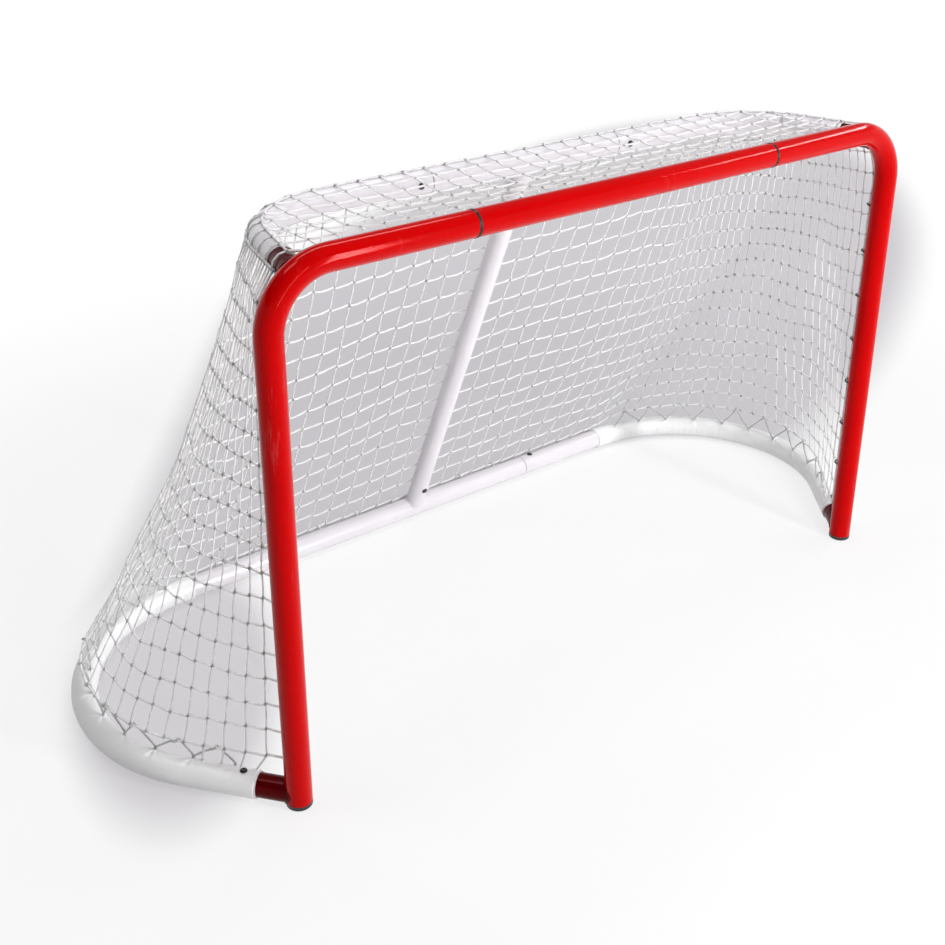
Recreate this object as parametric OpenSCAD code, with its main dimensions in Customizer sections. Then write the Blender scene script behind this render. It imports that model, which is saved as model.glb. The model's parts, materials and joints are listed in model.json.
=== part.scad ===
// Ice hockey goal: a bolted frame of round steel tube that carries a knotted net.
// Millimetres. +Z is up, the mouth faces -Y, and the part stands on Z = 0 with
// the origin below the middle of its bounding box.

/* [Goal mouth] */
// Clear width between the two posts
opening_w = 1829; // [1500:1:2000]
// Clear height under the crossbar
opening_h = 1219; // [1000:1:1300]
// Centreline radius of the two top corners
corner_r = 140; // [115:1:170]
// Length of the loose middle section of the crossbar
crossbar_l = 914; // [700:1:1100]

/* [Frame tube] */
// Outer diameter of every frame tube
tube_od = 60.3; // [54:0.1:63]
// Wall of every frame tube
tube_wall = 2; // [1.5:0.1:2.6]
// Slit left between two tubes that meet end to end
seam_gap = 2.5; // [1:0.5:6]
// Length of the sleeve inside each joint
sleeve_l = 160; // [120:5:200]
// Wall of sleeves, stubs and spigots
sleeve_wall = 3; // [2.5:0.1:4]
// Radial slip between a sleeve and the tube round it
slip = 0.25; // [0.15:0.05:0.5]
// How much slimmer a bent tube's straight rear end is than its bend
join_step = 0.3; // [0.2:0.05:0.4]
// How far that straight end laps into the bend
join_lap = 0.5; // [0.3:0.1:1]

/* [Base] */
// Goal line to the axis of the rear base tube
base_depth = 895; // [820:5:960]
// Angle at which the base tubes spread from the posts, in degrees
base_flare = 38.5; // [34:0.5:42]
// Centreline radius of the base bends
base_bend_r = 418; // [380:1:430]
// Length of the straight middle base tube
base_centre_l = 870; // [700:5:1000]

/* [Shelf] */
// How far the shelf tubes' axis lies below the crossbar's axis
shelf_drop = 21; // [15:1:31]
// Goal line to the axis of the rear shelf tube
shelf_depth = 385; // [350:5:450]
// Angle at which the shelf tubes close in from the corners, in degrees
shelf_close = 14; // [8:1:18]
// Centreline radius of the shelf bends
shelf_bend_r = 255; // [200:1:270]
// Length of the straight middle shelf tube
shelf_centre_l = 590; // [400:5:700]

/* [Stubs] */
// Distance from the red tube's axis to the end of the white tube
stub_show = 93; // [75:1:110]
// How far a stub reaches into the white tube
stub_reach = 80; // [60:1:100]

/* [Centre post] */
// How much thinner the centre post is than the frame tube
post_step = 6.3; // [5:0.1:10]
// Height of the welded collar at each end of the post
collar_h = 38; // [30:1:50]
// How far each spigot reaches into the post
spigot_l = 60; // [50:1:90]

/* [Covers] */
// Thickness of the vinyl cover on each base bend
cover_t = 1.6; // [1:0.1:3]
// Play between the cover and its tube
cover_play = 0.3; // [0.2:0.1:0.6]
// Length of cover on the straight tube behind the bend
cover_tail = 30; // [10:5:60]
// How far the cover stops short of the tube's open end
cover_back = 4; // [2:1:10]

/* [Screws] */
// Thread diameter
screw_d = 8; // [6:0.5:10]
// Button head diameter
head_d = 14; // [12:0.5:16]
// Button head height
head_h = 4.4; // [3.5:0.1:6]
// Size of the hexagon socket across its flats
socket_af = 5; // [4:0.5:6]
// Washer diameter
washer_d = 17; // [16:0.5:20]
// Washer thickness
washer_t = 1.5; // [1:0.1:2.5]
// Distance from a tube's end to its screw
screw_inset = 36; // [30:1:42]
// Radial play of a screw in its hole
screw_play = 0.15; // [0.1:0.05:0.3]
// How far a screw's tip stands out inside its sleeve
tip_show = 3; // [1:0.5:6]

/* [Feet] */
// Height of the cap below the post
cap_h = 12; // [8:1:20]
// Height of the cap's plug inside the post
plug_h = 26; // [15:1:40]
// Rounding of the cap's lower edge
cap_round = 4; // [2:0.5:6]

/* [Wire loops] */
// Diameter of the loop wire
wire_d = 4.5; // [3.5:0.5:5]
// Centreline radius of a loop
loop_r = 15; // [13:1:18]
// Distance between neighbouring loops
loop_pitch = 132; // [110:1:140]
// Height of the lowest loop on a post
loop_low_z = 240; // [200:1:260]
// Number of loops on each post
post_loops = 7; // [3:1:7]
// Number of loops on the crossbar
bar_loops = 11; // [5:2:11]
// Number of loops on the rear base tube
base_loops = 6; // [2:2:6]
// Angle of the rear base loops above the floor, in degrees
base_loop_tilt = 45; // [30:1:46]

/* [Net] */
// Thickness of the closed skin that stands for the net
net_t = 4; // [3:0.5:5]
// Play between the net and the frame
net_play = 0.8; // [0.6:0.1:0.9]
// How far the side nets are drawn in halfway up
net_sag = 58; // [20:1:70]
// How far the top net hangs down in its middle
top_sag = 14; // [5:1:20]
// Height of the net's lower edge above the base covers
lace_h = 36; // [25:1:50]
// Diameter of the border ropes
rope_d = 7; // [6:0.5:8]
// Diameter of the lace on the base covers
lace_d = 5; // [4:0.5:6]
// Distance between neighbouring eyelets of the lace
lace_pitch = 78; // [65:1:100]

/* [Hidden] */
$fn = 64;

eps = 0.01;

tube_r = tube_od / 2;
bore_r = tube_r - tube_wall;
sleeve_r = bore_r - slip;
sleeve_bore_r = sleeve_r - sleeve_wall;

post_x = opening_w / 2 + tube_r;
bar_z = opening_h + tube_r;
shelf_z = bar_z - shelf_drop;
bend_x = post_x - corner_r;
bend_z = bar_z - corner_r;
seam_x = crossbar_l / 2;
seam_half = seam_gap / 2;

cover_in_r = tube_r + cover_play;
cover_out_r = cover_in_r + cover_t;
base_z = cover_out_r;

// The shelf leaves each top corner where the corner's centreline is at shelf_z.
shelf_x = bend_x + sqrt(corner_r * corner_r - pow(shelf_z - bend_z, 2));

post_r = tube_r - post_step / 2;
post_bore_r = post_r - tube_wall;
spigot_r = post_bore_r - slip;
post_rise = shelf_z - base_z;
post_run = base_depth - shelf_depth;
post_axis_l = norm([post_rise, post_run]);
post_lean = atan2(post_run, post_rise);

screw_r = screw_d / 2;
screw_hole_r = screw_r + screw_play;
screw_tip_r = sleeve_bore_r - tip_show;
post_tip_r = spigot_r - sleeve_wall - tip_show;

wire_r = wire_d / 2;
rope_r = rope_d / 2;
rope_y = tube_r + net_play / 2 + rope_r;
edge_y = tube_r + loop_r + wire_r + net_play + net_t / 2;
skin_off = tube_r + net_play + net_t / 2;
edge_low_z = base_z + cover_out_r + lace_h;
rope_low_off = tube_r + net_play / 2 + rope_r;
// Radius from the rear base tube's axis at which the net's lower edge clears the loops.
net_low_off = tube_r - wire_r
    + (loop_r + wire_r + net_play + net_t / 2) / cos(base_loop_tilt - post_lean);

// The goal line's place on Y, with the origin midway between the posts' front and the rear.
rear_reach = max(cover_out_r, net_low_off * cos(base_loop_tilt) + net_t / 2);
goal_y = (tube_r - base_depth - rear_reach) / 2;

// Plan path of a half frame, right-hand side, from the middle of its rear tube
// outwards: [start x, depth, bend radius, flare, leg length, bend centre x, bend centre y].
function leg_length(depth, r, flare) = (depth - r * (1 + sin(flare))) / cos(flare);
function make_path(x, depth, r, flare) =
    let (leg = leg_length(depth, r, flare))
    [x, depth, r, flare, leg, x + leg * sin(flare) - r * cos(flare), depth - r];

base_path = make_path(post_x, base_depth, base_bend_r, base_flare);
shelf_path = make_path(shelf_x, shelf_depth, shelf_bend_r, -shelf_close);

function arc_length(p) = p[2] * (90 + p[3]) * PI / 180;
function path_length(p) = p[5] + arc_length(p) + p[4];
// Direction of the outward normal at distance s from the middle, in degrees.
function path_angle(p, s) =
    s <= p[5] ? 90 : max(-p[3], 90 - (s - p[5]) * 180 / PI / p[2]);
function path_point(p, s, off = 0) =
    let (a = path_angle(p, s), n = [cos(a), sin(a)])
    s <= p[5] ? [s, p[1] + off]
    : s <= p[5] + arc_length(p) ? [p[5], p[6]] + (p[2] + off) * n
    : [p[0], 0] + (path_length(p) - s) * [sin(p[3]), cos(p[3])] + off * n;

function mix(a, b, k) = a * (1 - k) + b * k;
function clamp(k) = max(0, min(1, k));
function smooth(k) = let (c = clamp(k)) c * c * (3 - 2 * c);

// ---------- shared shapes ----------

module to_goal_line() {
    translate([0, goal_y, 0]) children();
}

module ring(r_out, r_in) {
    difference() {
        circle(r_out);
        circle(r_in);
    }
}

module pipe(l, r_out, r_in) {
    linear_extrude(l) ring(r_out, r_in);
}

module elbow(bend, angle, r_out, r_in) {
    rotate_extrude(angle = angle, $fn = 96) translate([bend, 0]) ring(r_out, r_in);
}

// The right-hand bent tube of a frame, from x_in on the rear tube to leg_out from the post.
// The straight rear end laps into the bend by a hair, so that the two always join.
module bent_tube(p, z, r_out, r_in, x_in, leg_out) {
    translate([x_in, p[1], z]) rotate([0, 90, 0])
        pipe(p[5] - x_in + join_lap, r_out - join_step, r_in + join_step);
    translate([p[5], p[6], z]) rotate([0, 0, -p[3]]) {
        elbow(p[2], 90 + p[3], r_out, r_in);
        translate([p[2], 0, 0]) rotate([90, 0, 0]) pipe(p[4] - leg_out, r_out, r_in);
    }
}

// Places its children on the leg of a path, their +Z along the leg and away from the post.
module on_leg(p, z) {
    translate([p[0], 0, z]) rotate([0, 0, -p[3]]) rotate([-90, 0, 0]) children();
}

// A button-head screw along +Z, under which its washer seats at height 0.
module screw(shank_l) {
    translate([0, 0, -shank_l]) cylinder(h = shank_l + washer_t + eps, r = screw_r);
    difference() {
        cylinder(h = washer_t, r = washer_d / 2);
        translate([0, 0, -eps]) cylinder(h = washer_t + 2 * eps, r = screw_r - eps);
    }
    translate([0, 0, washer_t]) difference() {
        rotate_extrude() intersection() {
            translate([0, head_h - dome_r]) circle(dome_r);
            square([head_d / 2, head_h]);
        }
        translate([0, 0, head_h - socket_depth])
            cylinder(h = head_h, r = socket_af / sqrt(3), $fn = 6);
    }
}
// The dome meets the head's rim a quarter of its height above the washer.
dome_h = head_h * 0.75;
dome_r = (pow(head_d / 2, 2) + pow(dome_h, 2)) / (2 * dome_h);
socket_depth = head_h * 0.6;

// A round cord through a list of points, as one closed surface.
function unit(v) = v / norm(v);
function tangent(pts, i) =
    unit(pts[min(i + 1, len(pts) - 1)] - pts[max(i - 1, 0)]);
function cord_ring(c, t, r, n) =
    let (a = unit(cross(t, [0, 0, 1])), b = cross(t, a))
    [for (k = [0:n - 1]) c + r * (cos(360 * k / n) * a + sin(360 * k / n) * b)];
module cord(pts, d, n = 8) {
    m = len(pts);
    rings = [for (i = [0:m - 1]) each cord_ring(pts[i], tangent(pts, i), d / 2, n)];
    sides = [for (i = [0:m - 2]) for (k = [0:n - 1])
        let (k2 = (k + 1) % n)
        each [[i * n + k, i * n + k2, (i + 1) * n + k2], [i * n + k, (i + 1) * n + k2, (i + 1) * n + k]]];
    first = [for (k = [n - 1:-1:0]) k];
    last = [for (k = [0:n - 1]) (m - 1) * n + k];
    polyhedron(rings, concat(sides, [first, last]), convexity = 10);
}

// A closed skin between two equal grids of points, both listed row by row.
module skin(upper, lower) {
    rows = len(upper);
    cols = len(upper[0]);
    half = rows * cols;
    pts = concat([for (r = upper) each r], [for (r = lower) each r]);
    function up(i, j) = i * cols + j;
    function lo(i, j) = half + i * cols + j;
    faces = concat(
        [for (i = [0:rows - 2]) for (j = [0:cols - 2]) each
            [[up(i, j), up(i + 1, j), up(i + 1, j + 1)], [up(i, j), up(i + 1, j + 1), up(i, j + 1)]]],
        [for (i = [0:rows - 2]) for (j = [0:cols - 2]) each
            [[lo(i, j), lo(i + 1, j + 1), lo(i + 1, j)], [lo(i, j), lo(i, j + 1), lo(i + 1, j + 1)]]],
        [for (i = [0:rows - 2]) each
            [[up(i, 0), lo(i, 0), lo(i + 1, 0)], [up(i, 0), lo(i + 1, 0), up(i + 1, 0)],
             [up(i, cols - 1), up(i + 1, cols - 1), lo(i + 1, cols - 1)],
             [up(i, cols - 1), lo(i + 1, cols - 1), lo(i, cols - 1)]]],
        [for (j = [0:cols - 2]) each
            [[up(0, j), up(0, j + 1), lo(0, j + 1)], [up(0, j), lo(0, j + 1), lo(0, j)],
             [up(rows - 1, j), lo(rows - 1, j + 1), up(rows - 1, j + 1)],
             [up(rows - 1, j), lo(rows - 1, j), lo(rows - 1, j + 1)]]]
    );
    polyhedron(pts, faces, convexity = 10);
}

// ---------- front frame ----------

// The post, the corner and the outer third of the crossbar, bent from one tube.
module post_tube(r_out, r_in) {
    translate([post_x, 0, cap_h]) pipe(bend_z - cap_h, r_out, r_in);
    translate([bend_x, 0, bend_z]) rotate([90, 0, 0]) elbow(corner_r, 90, r_out, r_in);
    translate([seam_x + seam_half, 0, bar_z]) rotate([0, 90, 0])
        pipe(bend_x - seam_x - seam_half, r_out, r_in);
}

module bar_screw_place() {
    translate([seam_x + seam_half + screw_inset, 0, bar_z]) rotate([-90 - bar_screw_tilt, 0, 0])
        translate([0, 0, tube_r]) children();
}
// The crossbar's screws face back and down, clear of the loops and the rope.
bar_screw_tilt = 45;

module right_half_post() {
    difference() {
        post_tube(tube_r, bore_r);
        bar_screw_place() screw_bore();
    }
}

module right_post() {
    color("red") to_goal_line() right_half_post();
}

module left_post() {
    color("red") to_goal_line() mirror([1, 0, 0]) right_half_post();
}

module crossbar() {
    l = crossbar_l - seam_gap;
    color("red") to_goal_line()
        translate([-l / 2, 0, bar_z]) rotate([0, 90, 0]) pipe(l, tube_r, bore_r);
}

module joint_sleeve() {
    translate([-sleeve_l / 2, 0, 0]) rotate([0, 90, 0]) pipe(sleeve_l, sleeve_r, sleeve_bore_r);
}

module right_bar_sleeve() {
    difference() {
        translate([seam_x, 0, bar_z]) joint_sleeve();
        bar_screw_place() screw_bore();
    }
}

module right_crossbar_sleeve() {
    color("dimgray") to_goal_line() right_bar_sleeve();
}

module left_crossbar_sleeve() {
    color("dimgray") to_goal_line() mirror([1, 0, 0]) right_bar_sleeve();
}

module foot_cap() {
    rotate_extrude() {
        difference() {
            square([tube_r, cap_h]);
            translate([tube_r - cap_round, 0]) square(cap_round);
        }
        intersection() {
            translate([tube_r - cap_round, cap_round]) circle(cap_round);
            square([tube_r, cap_h]);
        }
    }
    translate([0, 0, cap_h]) cylinder(h = plug_h, r = bore_r - slip);
}

module right_foot_cap() {
    color("black") to_goal_line() translate([post_x, 0, 0]) foot_cap();
}

module left_foot_cap() {
    color("black") to_goal_line() translate([-post_x, 0, 0]) foot_cap();
}

// ---------- stubs welded to the front frame ----------

module stub(p, z) {
    on_leg(p, z) difference() {
        cylinder(h = stub_show + stub_reach, r = sleeve_r);
        translate([0, 0, -eps]) cylinder(h = stub_show + stub_reach + 2 * eps, r = sleeve_bore_r);
    }
}

// Where the screw of a stub seats on the white tube: on top, or below it when side is -1.
module stub_screw_place(p, z, seat_r, side = 1) {
    on_leg(p, z) translate([0, 0, stub_show + screw_inset]) rotate([side * 90, 0, 0])
        translate([0, 0, seat_r]) children();
}

module screw_bore() {
    translate([0, 0, -tube_r]) cylinder(h = 2 * tube_r, r = screw_hole_r);
}

module right_low_stub() {
    difference() {
        stub(base_path, base_z);
        translate([post_x, 0, 0]) cylinder(h = 2 * base_z + tube_r, r = tube_r);
        stub_screw_place(base_path, base_z, cover_out_r) screw_bore();
    }
}

module right_base_stub() {
    color("darkred") to_goal_line() right_low_stub();
}

module left_base_stub() {
    color("darkred") to_goal_line() mirror([1, 0, 0]) right_low_stub();
}

module right_high_stub() {
    difference() {
        stub(shelf_path, shelf_z);
        translate([bend_x, 0, bend_z]) rotate([90, 0, 0])
            rotate_extrude(angle = 90, $fn = 96) translate([corner_r, 0]) circle(tube_r);
        translate([0, 0, bar_z]) rotate([0, 90, 0]) cylinder(h = bend_x, r = tube_r);
        stub_screw_place(shelf_path, shelf_z, tube_r, -1) screw_bore();
    }
}

module right_shelf_stub() {
    color("darkred") to_goal_line() right_high_stub();
}

module left_shelf_stub() {
    color("darkred") to_goal_line() mirror([1, 0, 0]) right_high_stub();
}

// ---------- base ----------

module base_seam_screw_place(seat_r) {
    translate([base_centre_l / 2 + seam_half + screw_inset, base_depth, base_z + seat_r]) children();
}

module right_base_run() {
    difference() {
        bent_tube(base_path, base_z, tube_r, bore_r, base_centre_l / 2 + seam_half, stub_show);
        base_seam_screw_place(tube_r) screw_bore();
        stub_screw_place(base_path, base_z, cover_out_r) screw_bore();
    }
}

module right_base_tube() {
    color("white") to_goal_line() right_base_run();
}

module left_base_tube() {
    color("white") to_goal_line() mirror([1, 0, 0]) right_base_run();
}

module base_centre_tube() {
    l = base_centre_l - seam_gap;
    color("white") to_goal_line()
        translate([-l / 2, base_depth, base_z]) rotate([0, 90, 0]) pipe(l, tube_r, bore_r);
}

module right_low_sleeve() {
    difference() {
        translate([base_centre_l / 2, base_depth, base_z]) joint_sleeve();
        base_seam_screw_place(tube_r) screw_bore();
    }
}

module right_base_sleeve() {
    color("silver") to_goal_line() right_low_sleeve();
}

module left_base_sleeve() {
    color("silver") to_goal_line() mirror([1, 0, 0]) right_low_sleeve();
}

module right_cover() {
    difference() {
        bent_tube(base_path, base_z, cover_out_r, cover_in_r,
            base_path[5] - cover_tail, stub_show + cover_back);
        stub_screw_place(base_path, base_z, cover_out_r) screw_bore();
    }
}

module right_base_cover() {
    color("whitesmoke") to_goal_line() right_cover();
}

module left_base_cover() {
    color("whitesmoke") to_goal_line() mirror([1, 0, 0]) right_cover();
}

// ---------- shelf ----------

module shelf_seam_screw_place() {
    translate([shelf_centre_l / 2 + seam_half + screw_inset, shelf_depth - tube_r, shelf_z])
        rotate([90, 0, 0]) children();
}

module right_shelf_run() {
    difference() {
        bent_tube(shelf_path, shelf_z, tube_r, bore_r, shelf_centre_l / 2 + seam_half, stub_show);
        shelf_seam_screw_place() screw_bore();
        stub_screw_place(shelf_path, shelf_z, tube_r, -1) screw_bore();
    }
}

module right_shelf_tube() {
    color("white") to_goal_line() right_shelf_run();
}

module left_shelf_tube() {
    color("white") to_goal_line() mirror([1, 0, 0]) right_shelf_run();
}

module shelf_centre_tube() {
    l = shelf_centre_l - seam_gap;
    color("white") to_goal_line()
        translate([-l / 2, shelf_depth, shelf_z]) rotate([0, 90, 0]) pipe(l, tube_r, bore_r);
}

module right_high_sleeve() {
    difference() {
        translate([shelf_centre_l / 2, shelf_depth, shelf_z]) joint_sleeve();
        shelf_seam_screw_place() screw_bore();
    }
}

module right_shelf_sleeve() {
    color("silver") to_goal_line() right_high_sleeve();
}

module left_shelf_sleeve() {
    color("silver") to_goal_line() mirror([1, 0, 0]) right_high_sleeve();
}

// ---------- centre post ----------

// Children's +Z runs up the leaning axis, from the base tube's axis to the shelf tube's.
module on_post_axis() {
    translate([0, base_depth, base_z]) rotate([post_lean, 0, 0]) children();
}

module post_screw_place(h) {
    on_post_axis() translate([0, 0, h]) rotate([90, 0, 0]) translate([0, 0, post_r]) children();
}

low_collar_top = tube_r + collar_h;
high_collar_low = post_axis_l - tube_r - collar_h;
low_screw_h = low_collar_top + spigot_l / 2;
high_screw_h = high_collar_low - spigot_l / 2;

module centre_post() {
    color("white") to_goal_line() difference() {
        on_post_axis() translate([0, 0, low_collar_top])
            pipe(high_collar_low - low_collar_top, post_r, post_bore_r);
        post_screw_place(low_screw_h) screw_bore();
        post_screw_place(high_screw_h) screw_bore();
    }
}

module post_end(solid_l) {
    cylinder(h = solid_l, r = post_r);
    cylinder(h = solid_l + spigot_l, r = spigot_r);
}

module post_foot() {
    color("white") to_goal_line() difference() {
        on_post_axis() post_end(low_collar_top);
        on_post_axis() translate([0, 0, -tube_r]) cylinder(h = post_axis_l, r = spigot_r - sleeve_wall);
        translate([-tube_r * 2, base_depth, base_z]) rotate([0, 90, 0])
            cylinder(h = tube_r * 4, r = tube_r);
        post_screw_place(low_screw_h) screw_bore();
    }
}

module post_head() {
    color("white") to_goal_line() difference() {
        on_post_axis() translate([0, 0, post_axis_l]) mirror([0, 0, 1]) post_end(tube_r + collar_h);
        on_post_axis() cylinder(h = post_axis_l + tube_r, r = spigot_r - sleeve_wall);
        translate([-tube_r * 2, shelf_depth, shelf_z]) rotate([0, 90, 0])
            cylinder(h = tube_r * 4, r = tube_r);
        post_screw_place(high_screw_h) screw_bore();
    }
}

// ---------- screws ----------

module both_sides() {
    children();
    mirror([1, 0, 0]) children();
}

module crossbar_screws() {
    color("silver") to_goal_line() both_sides() bar_screw_place() screw(tube_r - screw_tip_r);
}

module base_screws() {
    color("silver") to_goal_line() both_sides() {
        base_seam_screw_place(tube_r) screw(tube_r - screw_tip_r);
        stub_screw_place(base_path, base_z, cover_out_r) screw(cover_out_r - screw_tip_r);
    }
}

module shelf_screws() {
    color("silver") to_goal_line() both_sides() {
        shelf_seam_screw_place() screw(tube_r - screw_tip_r);
        stub_screw_place(shelf_path, shelf_z, tube_r, -1) screw(tube_r - screw_tip_r);
    }
}

module post_screws() {
    color("silver") to_goal_line() {
        post_screw_place(low_screw_h) screw(post_r - post_tip_r);
        post_screw_place(high_screw_h) screw(post_r - post_tip_r);
    }
}

// ---------- wire loops and ropes ----------

// A half ring that bulges towards +Y, for a rope that runs along Z through it.
module wire_loop() {
    rotate_extrude(angle = 180) translate([loop_r, 0]) circle(wire_r);
}

module right_loops() {
    difference() {
        for (k = [0:post_loops - 1])
            translate([post_x, tube_r - wire_r, loop_low_z + k * loop_pitch]) wire_loop();
        translate([post_x, 0, 0]) cylinder(h = bar_z, r = tube_r);
    }
}

module right_post_loops() {
    color("black") to_goal_line() right_loops();
}

module left_post_loops() {
    color("black") to_goal_line() mirror([1, 0, 0]) right_loops();
}

module loop_row(count, pitch) {
    for (k = [0:count - 1])
        translate([(k - (count - 1) / 2) * pitch, tube_r - wire_r, 0]) rotate([0, 90, 0]) wire_loop();
}

module crossbar_loops() {
    color("black") to_goal_line() translate([0, 0, bar_z]) difference() {
        loop_row(bar_loops, loop_pitch);
        translate([-bar_z, 0, 0]) rotate([0, 90, 0]) cylinder(h = 2 * bar_z, r = tube_r);
    }
}

module base_loops_row() {
    color("white") to_goal_line() translate([0, base_depth, base_z]) difference() {
        rotate([base_loop_tilt, 0, 0]) loop_row(base_loops, loop_pitch);
        translate([-bar_z, 0, 0]) rotate([0, 90, 0]) cylinder(h = 2 * bar_z, r = tube_r);
    }
}

module edge_rope() {
    translate([0, rope_y, edge_low_z]) cylinder(h = bend_z - edge_low_z, r = rope_r);
}

module right_edge_rope() {
    color("white") to_goal_line() translate([post_x, 0, 0]) edge_rope();
}

module left_edge_rope() {
    color("white") to_goal_line() translate([-post_x, 0, 0]) edge_rope();
}

module crossbar_rope() {
    color("white") to_goal_line() translate([-bend_x, rope_y, bar_z]) rotate([0, 90, 0])
        cylinder(h = 2 * bend_x, r = rope_r);
}

module rear_base_rope() {
    l = base_path[5] - cover_tail;
    color("white") to_goal_line()
        translate([-l, base_depth, base_z]) rotate([base_loop_tilt, 0, 0]) translate([0, rope_low_off, 0])
            rotate([0, 90, 0]) cylinder(h = 2 * l, r = rope_r);
}

// ---------- net ----------

base_l = path_length(base_path) - edge_y;
shelf_l = path_length(shelf_path) - edge_y;
// Share of the base's half length that lies on the straight rear tube.
back_share = base_path[5] / base_l;
// The side nets start a stitch beyond the back net.
side_share = back_share + 3 * net_play / base_l;

// Distance along the shelf that the net's column over base distance s reaches.
function shelf_reach(s) =
    s <= shelf_path[5] ? s
    : shelf_path[5] + (shelf_l - shelf_path[5]) * (s - shelf_path[5]) / (base_l - shelf_path[5]);

// Lower edge: behind the loops on the rear tube, and a lace's height above the covers.
function low_edge(t) =
    let (s = t * base_l, k = smooth((s - base_path[5] + cover_tail) / lace_pitch),
         off = mix(net_low_off * cos(base_loop_tilt), 0, k),
         q = path_point(base_path, s, off))
    [q[0], q[1], mix(base_z + net_low_off * sin(base_loop_tilt), edge_low_z, k)];

function top_edge(t) =
    let (q = path_point(shelf_path, shelf_reach(t * base_l), skin_off)) [q[0], q[1], shelf_z];

// The edge beside the post follows the post, then its corner.
function edge_x(z) =
    let (x1 = top_edge(1)[0], k = clamp((z - bend_z) / (shelf_z - bend_z)))
    x1 + (post_x - x1) * sqrt(1 - k * k);

function post_pull(t) = pow(clamp((t - back_share) / (1 - back_share)), 4);

function net_point(t, v) =
    let (a = low_edge(t), b = top_edge(t), flat = mix(a, b, v),
         n = path_angle(base_path, t * base_l),
         in = net_sag * pow(sin(180 * t), 2) * sin(180 * v),
         edge = mix(low_edge(1), top_edge(1), v),
         pull = post_pull(t))
    [flat[0] - in * cos(n) + pull * (edge_x(edge[2]) - edge[0]),
     flat[1] - in * sin(n) + pull * (edge_y - edge[1]),
     flat[2]];

function net_normal(t) =
    let (n = path_angle(base_path, t * base_l)) [cos(n), sin(n), 0];

module net_skin(t0, t1, columns, rows = 10) {
    ts = [for (i = [0:columns]) mix(t0, t1, i / columns)];
    function side(t) = t < 0 ? -1 : 1;
    function layer(h) = [for (t = ts) [for (j = [0:rows])
        let (q = net_point(abs(t), j / rows) + h * net_normal(abs(t))) [side(t) * q[0], q[1], q[2]]]];
    skin(layer(net_t / 2), layer(-net_t / 2));
}

module right_net() {
    color("gainsboro") to_goal_line() net_skin(side_share, 1, 20);
}

module left_net() {
    color("gainsboro") to_goal_line() mirror([1, 0, 0]) net_skin(side_share, 1, 20);
}

module back_net() {
    color("gainsboro") to_goal_line() net_skin(-back_share, back_share, 16);
}

top_z = shelf_z + skin_off;
top_front_x = shelf_path[0] - tube_r;

// The top net runs back from the crossbar, then turns down over the shelf tube.
function top_front(t) =
    let (s = shelf_reach(t * base_l), k = clamp((s - shelf_path[5]) / (shelf_l - shelf_path[5])))
    [s <= shelf_path[5] ? s : mix(shelf_path[5], top_front_x, k), edge_y, top_z];
function top_point(t, w, h) =
    let (s = shelf_reach(t * base_l), q = path_point(shelf_path, s), f = top_front(t),
         drop = top_sag * sin(180 * w) * (1 - pow(t, 4)))
    [mix(f[0], q[0], w), mix(f[1], q[1], w), top_z + h - drop];
function wrap_point(t, a, h) =
    let (s = shelf_reach(t * base_l), q = path_point(shelf_path, s, (skin_off + h) * sin(a)))
    [q[0], q[1], shelf_z + (skin_off + h) * cos(a)];

module top_net() {
    ts = [for (i = [-20:20]) i / 20 * 0.97];
    function side(t) = t < 0 ? -1 : 1;
    function flip(t, q) = [side(t) * q[0], q[1], q[2]];
    function layer(h) = [for (t = ts) concat(
        [for (j = [0:6]) flip(t, top_point(abs(t), j / 6, h))],
        [for (a = [25:25:75]) flip(t, wrap_point(abs(t), a, h))])];
    color("gainsboro") to_goal_line() skin(layer(net_t / 2), layer(-net_t / 2));
}

// ---------- lace between the net and the covers ----------

lace_tilt = 24;
lace_first = base_path[5] + lace_pitch / 2;
lace_last = path_length(base_path) - stub_show - 2 * screw_inset;
lace_turns = floor((lace_last - lace_first) / lace_pitch);

function lace_low(s) =
    let (r = cover_out_r + lace_d / 2 + net_play / 2, q = path_point(base_path, s, -r * sin(lace_tilt)))
    [q[0], q[1], base_z + r * cos(lace_tilt)];
function lace_high(s) =
    let (q = net_point(s / base_l, 0)) q - [0, 0, lace_d / 2 + net_play / 2];
// Three points a corner round the zigzag off a little.
function lace_corner(a, c, b) = [mix(c, a, 0.12), c, mix(c, b, 0.12)];

module half_lace() {
    nodes = [for (k = [0:2 * lace_turns])
        let (s = lace_first + k * lace_pitch / 2) k % 2 == 0 ? lace_low(s) : lace_high(s)];
    n = len(nodes);
    pts = [for (k = [0:n - 1])
        each k == 0 || k == n - 1 ? [nodes[k]] : lace_corner(nodes[k - 1], nodes[k], nodes[k + 1])];
    cord(pts, lace_d);
}

module right_lace() {
    color("white") to_goal_line() half_lace();
}

module left_lace() {
    color("white") to_goal_line() mirror([1, 0, 0]) half_lace();
}

left_post();
right_post();
crossbar();
left_crossbar_sleeve();
right_crossbar_sleeve();
left_foot_cap();
right_foot_cap();
left_base_stub();
right_base_stub();
left_shelf_stub();
right_shelf_stub();
left_base_tube();
right_base_tube();
base_centre_tube();
left_base_sleeve();
right_base_sleeve();
left_shelf_tube();
right_shelf_tube();
shelf_centre_tube();
left_shelf_sleeve();
right_shelf_sleeve();
centre_post();
post_foot();
post_head();
left_base_cover();
right_base_cover();
crossbar_screws();
base_screws();
shelf_screws();
post_screws();
left_post_loops();
right_post_loops();
crossbar_loops();
base_loops_row();
left_edge_rope();
right_edge_rope();
crossbar_rope();
rear_base_rope();
left_lace();
right_lace();
left_net();
right_net();
back_net();
top_net();
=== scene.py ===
import json
import random
from math import acos, asin, atan2, copysign, cos, exp, hypot, pi, radians, sin, sqrt

import bpy
import numpy as np
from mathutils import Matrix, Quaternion, Vector


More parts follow.
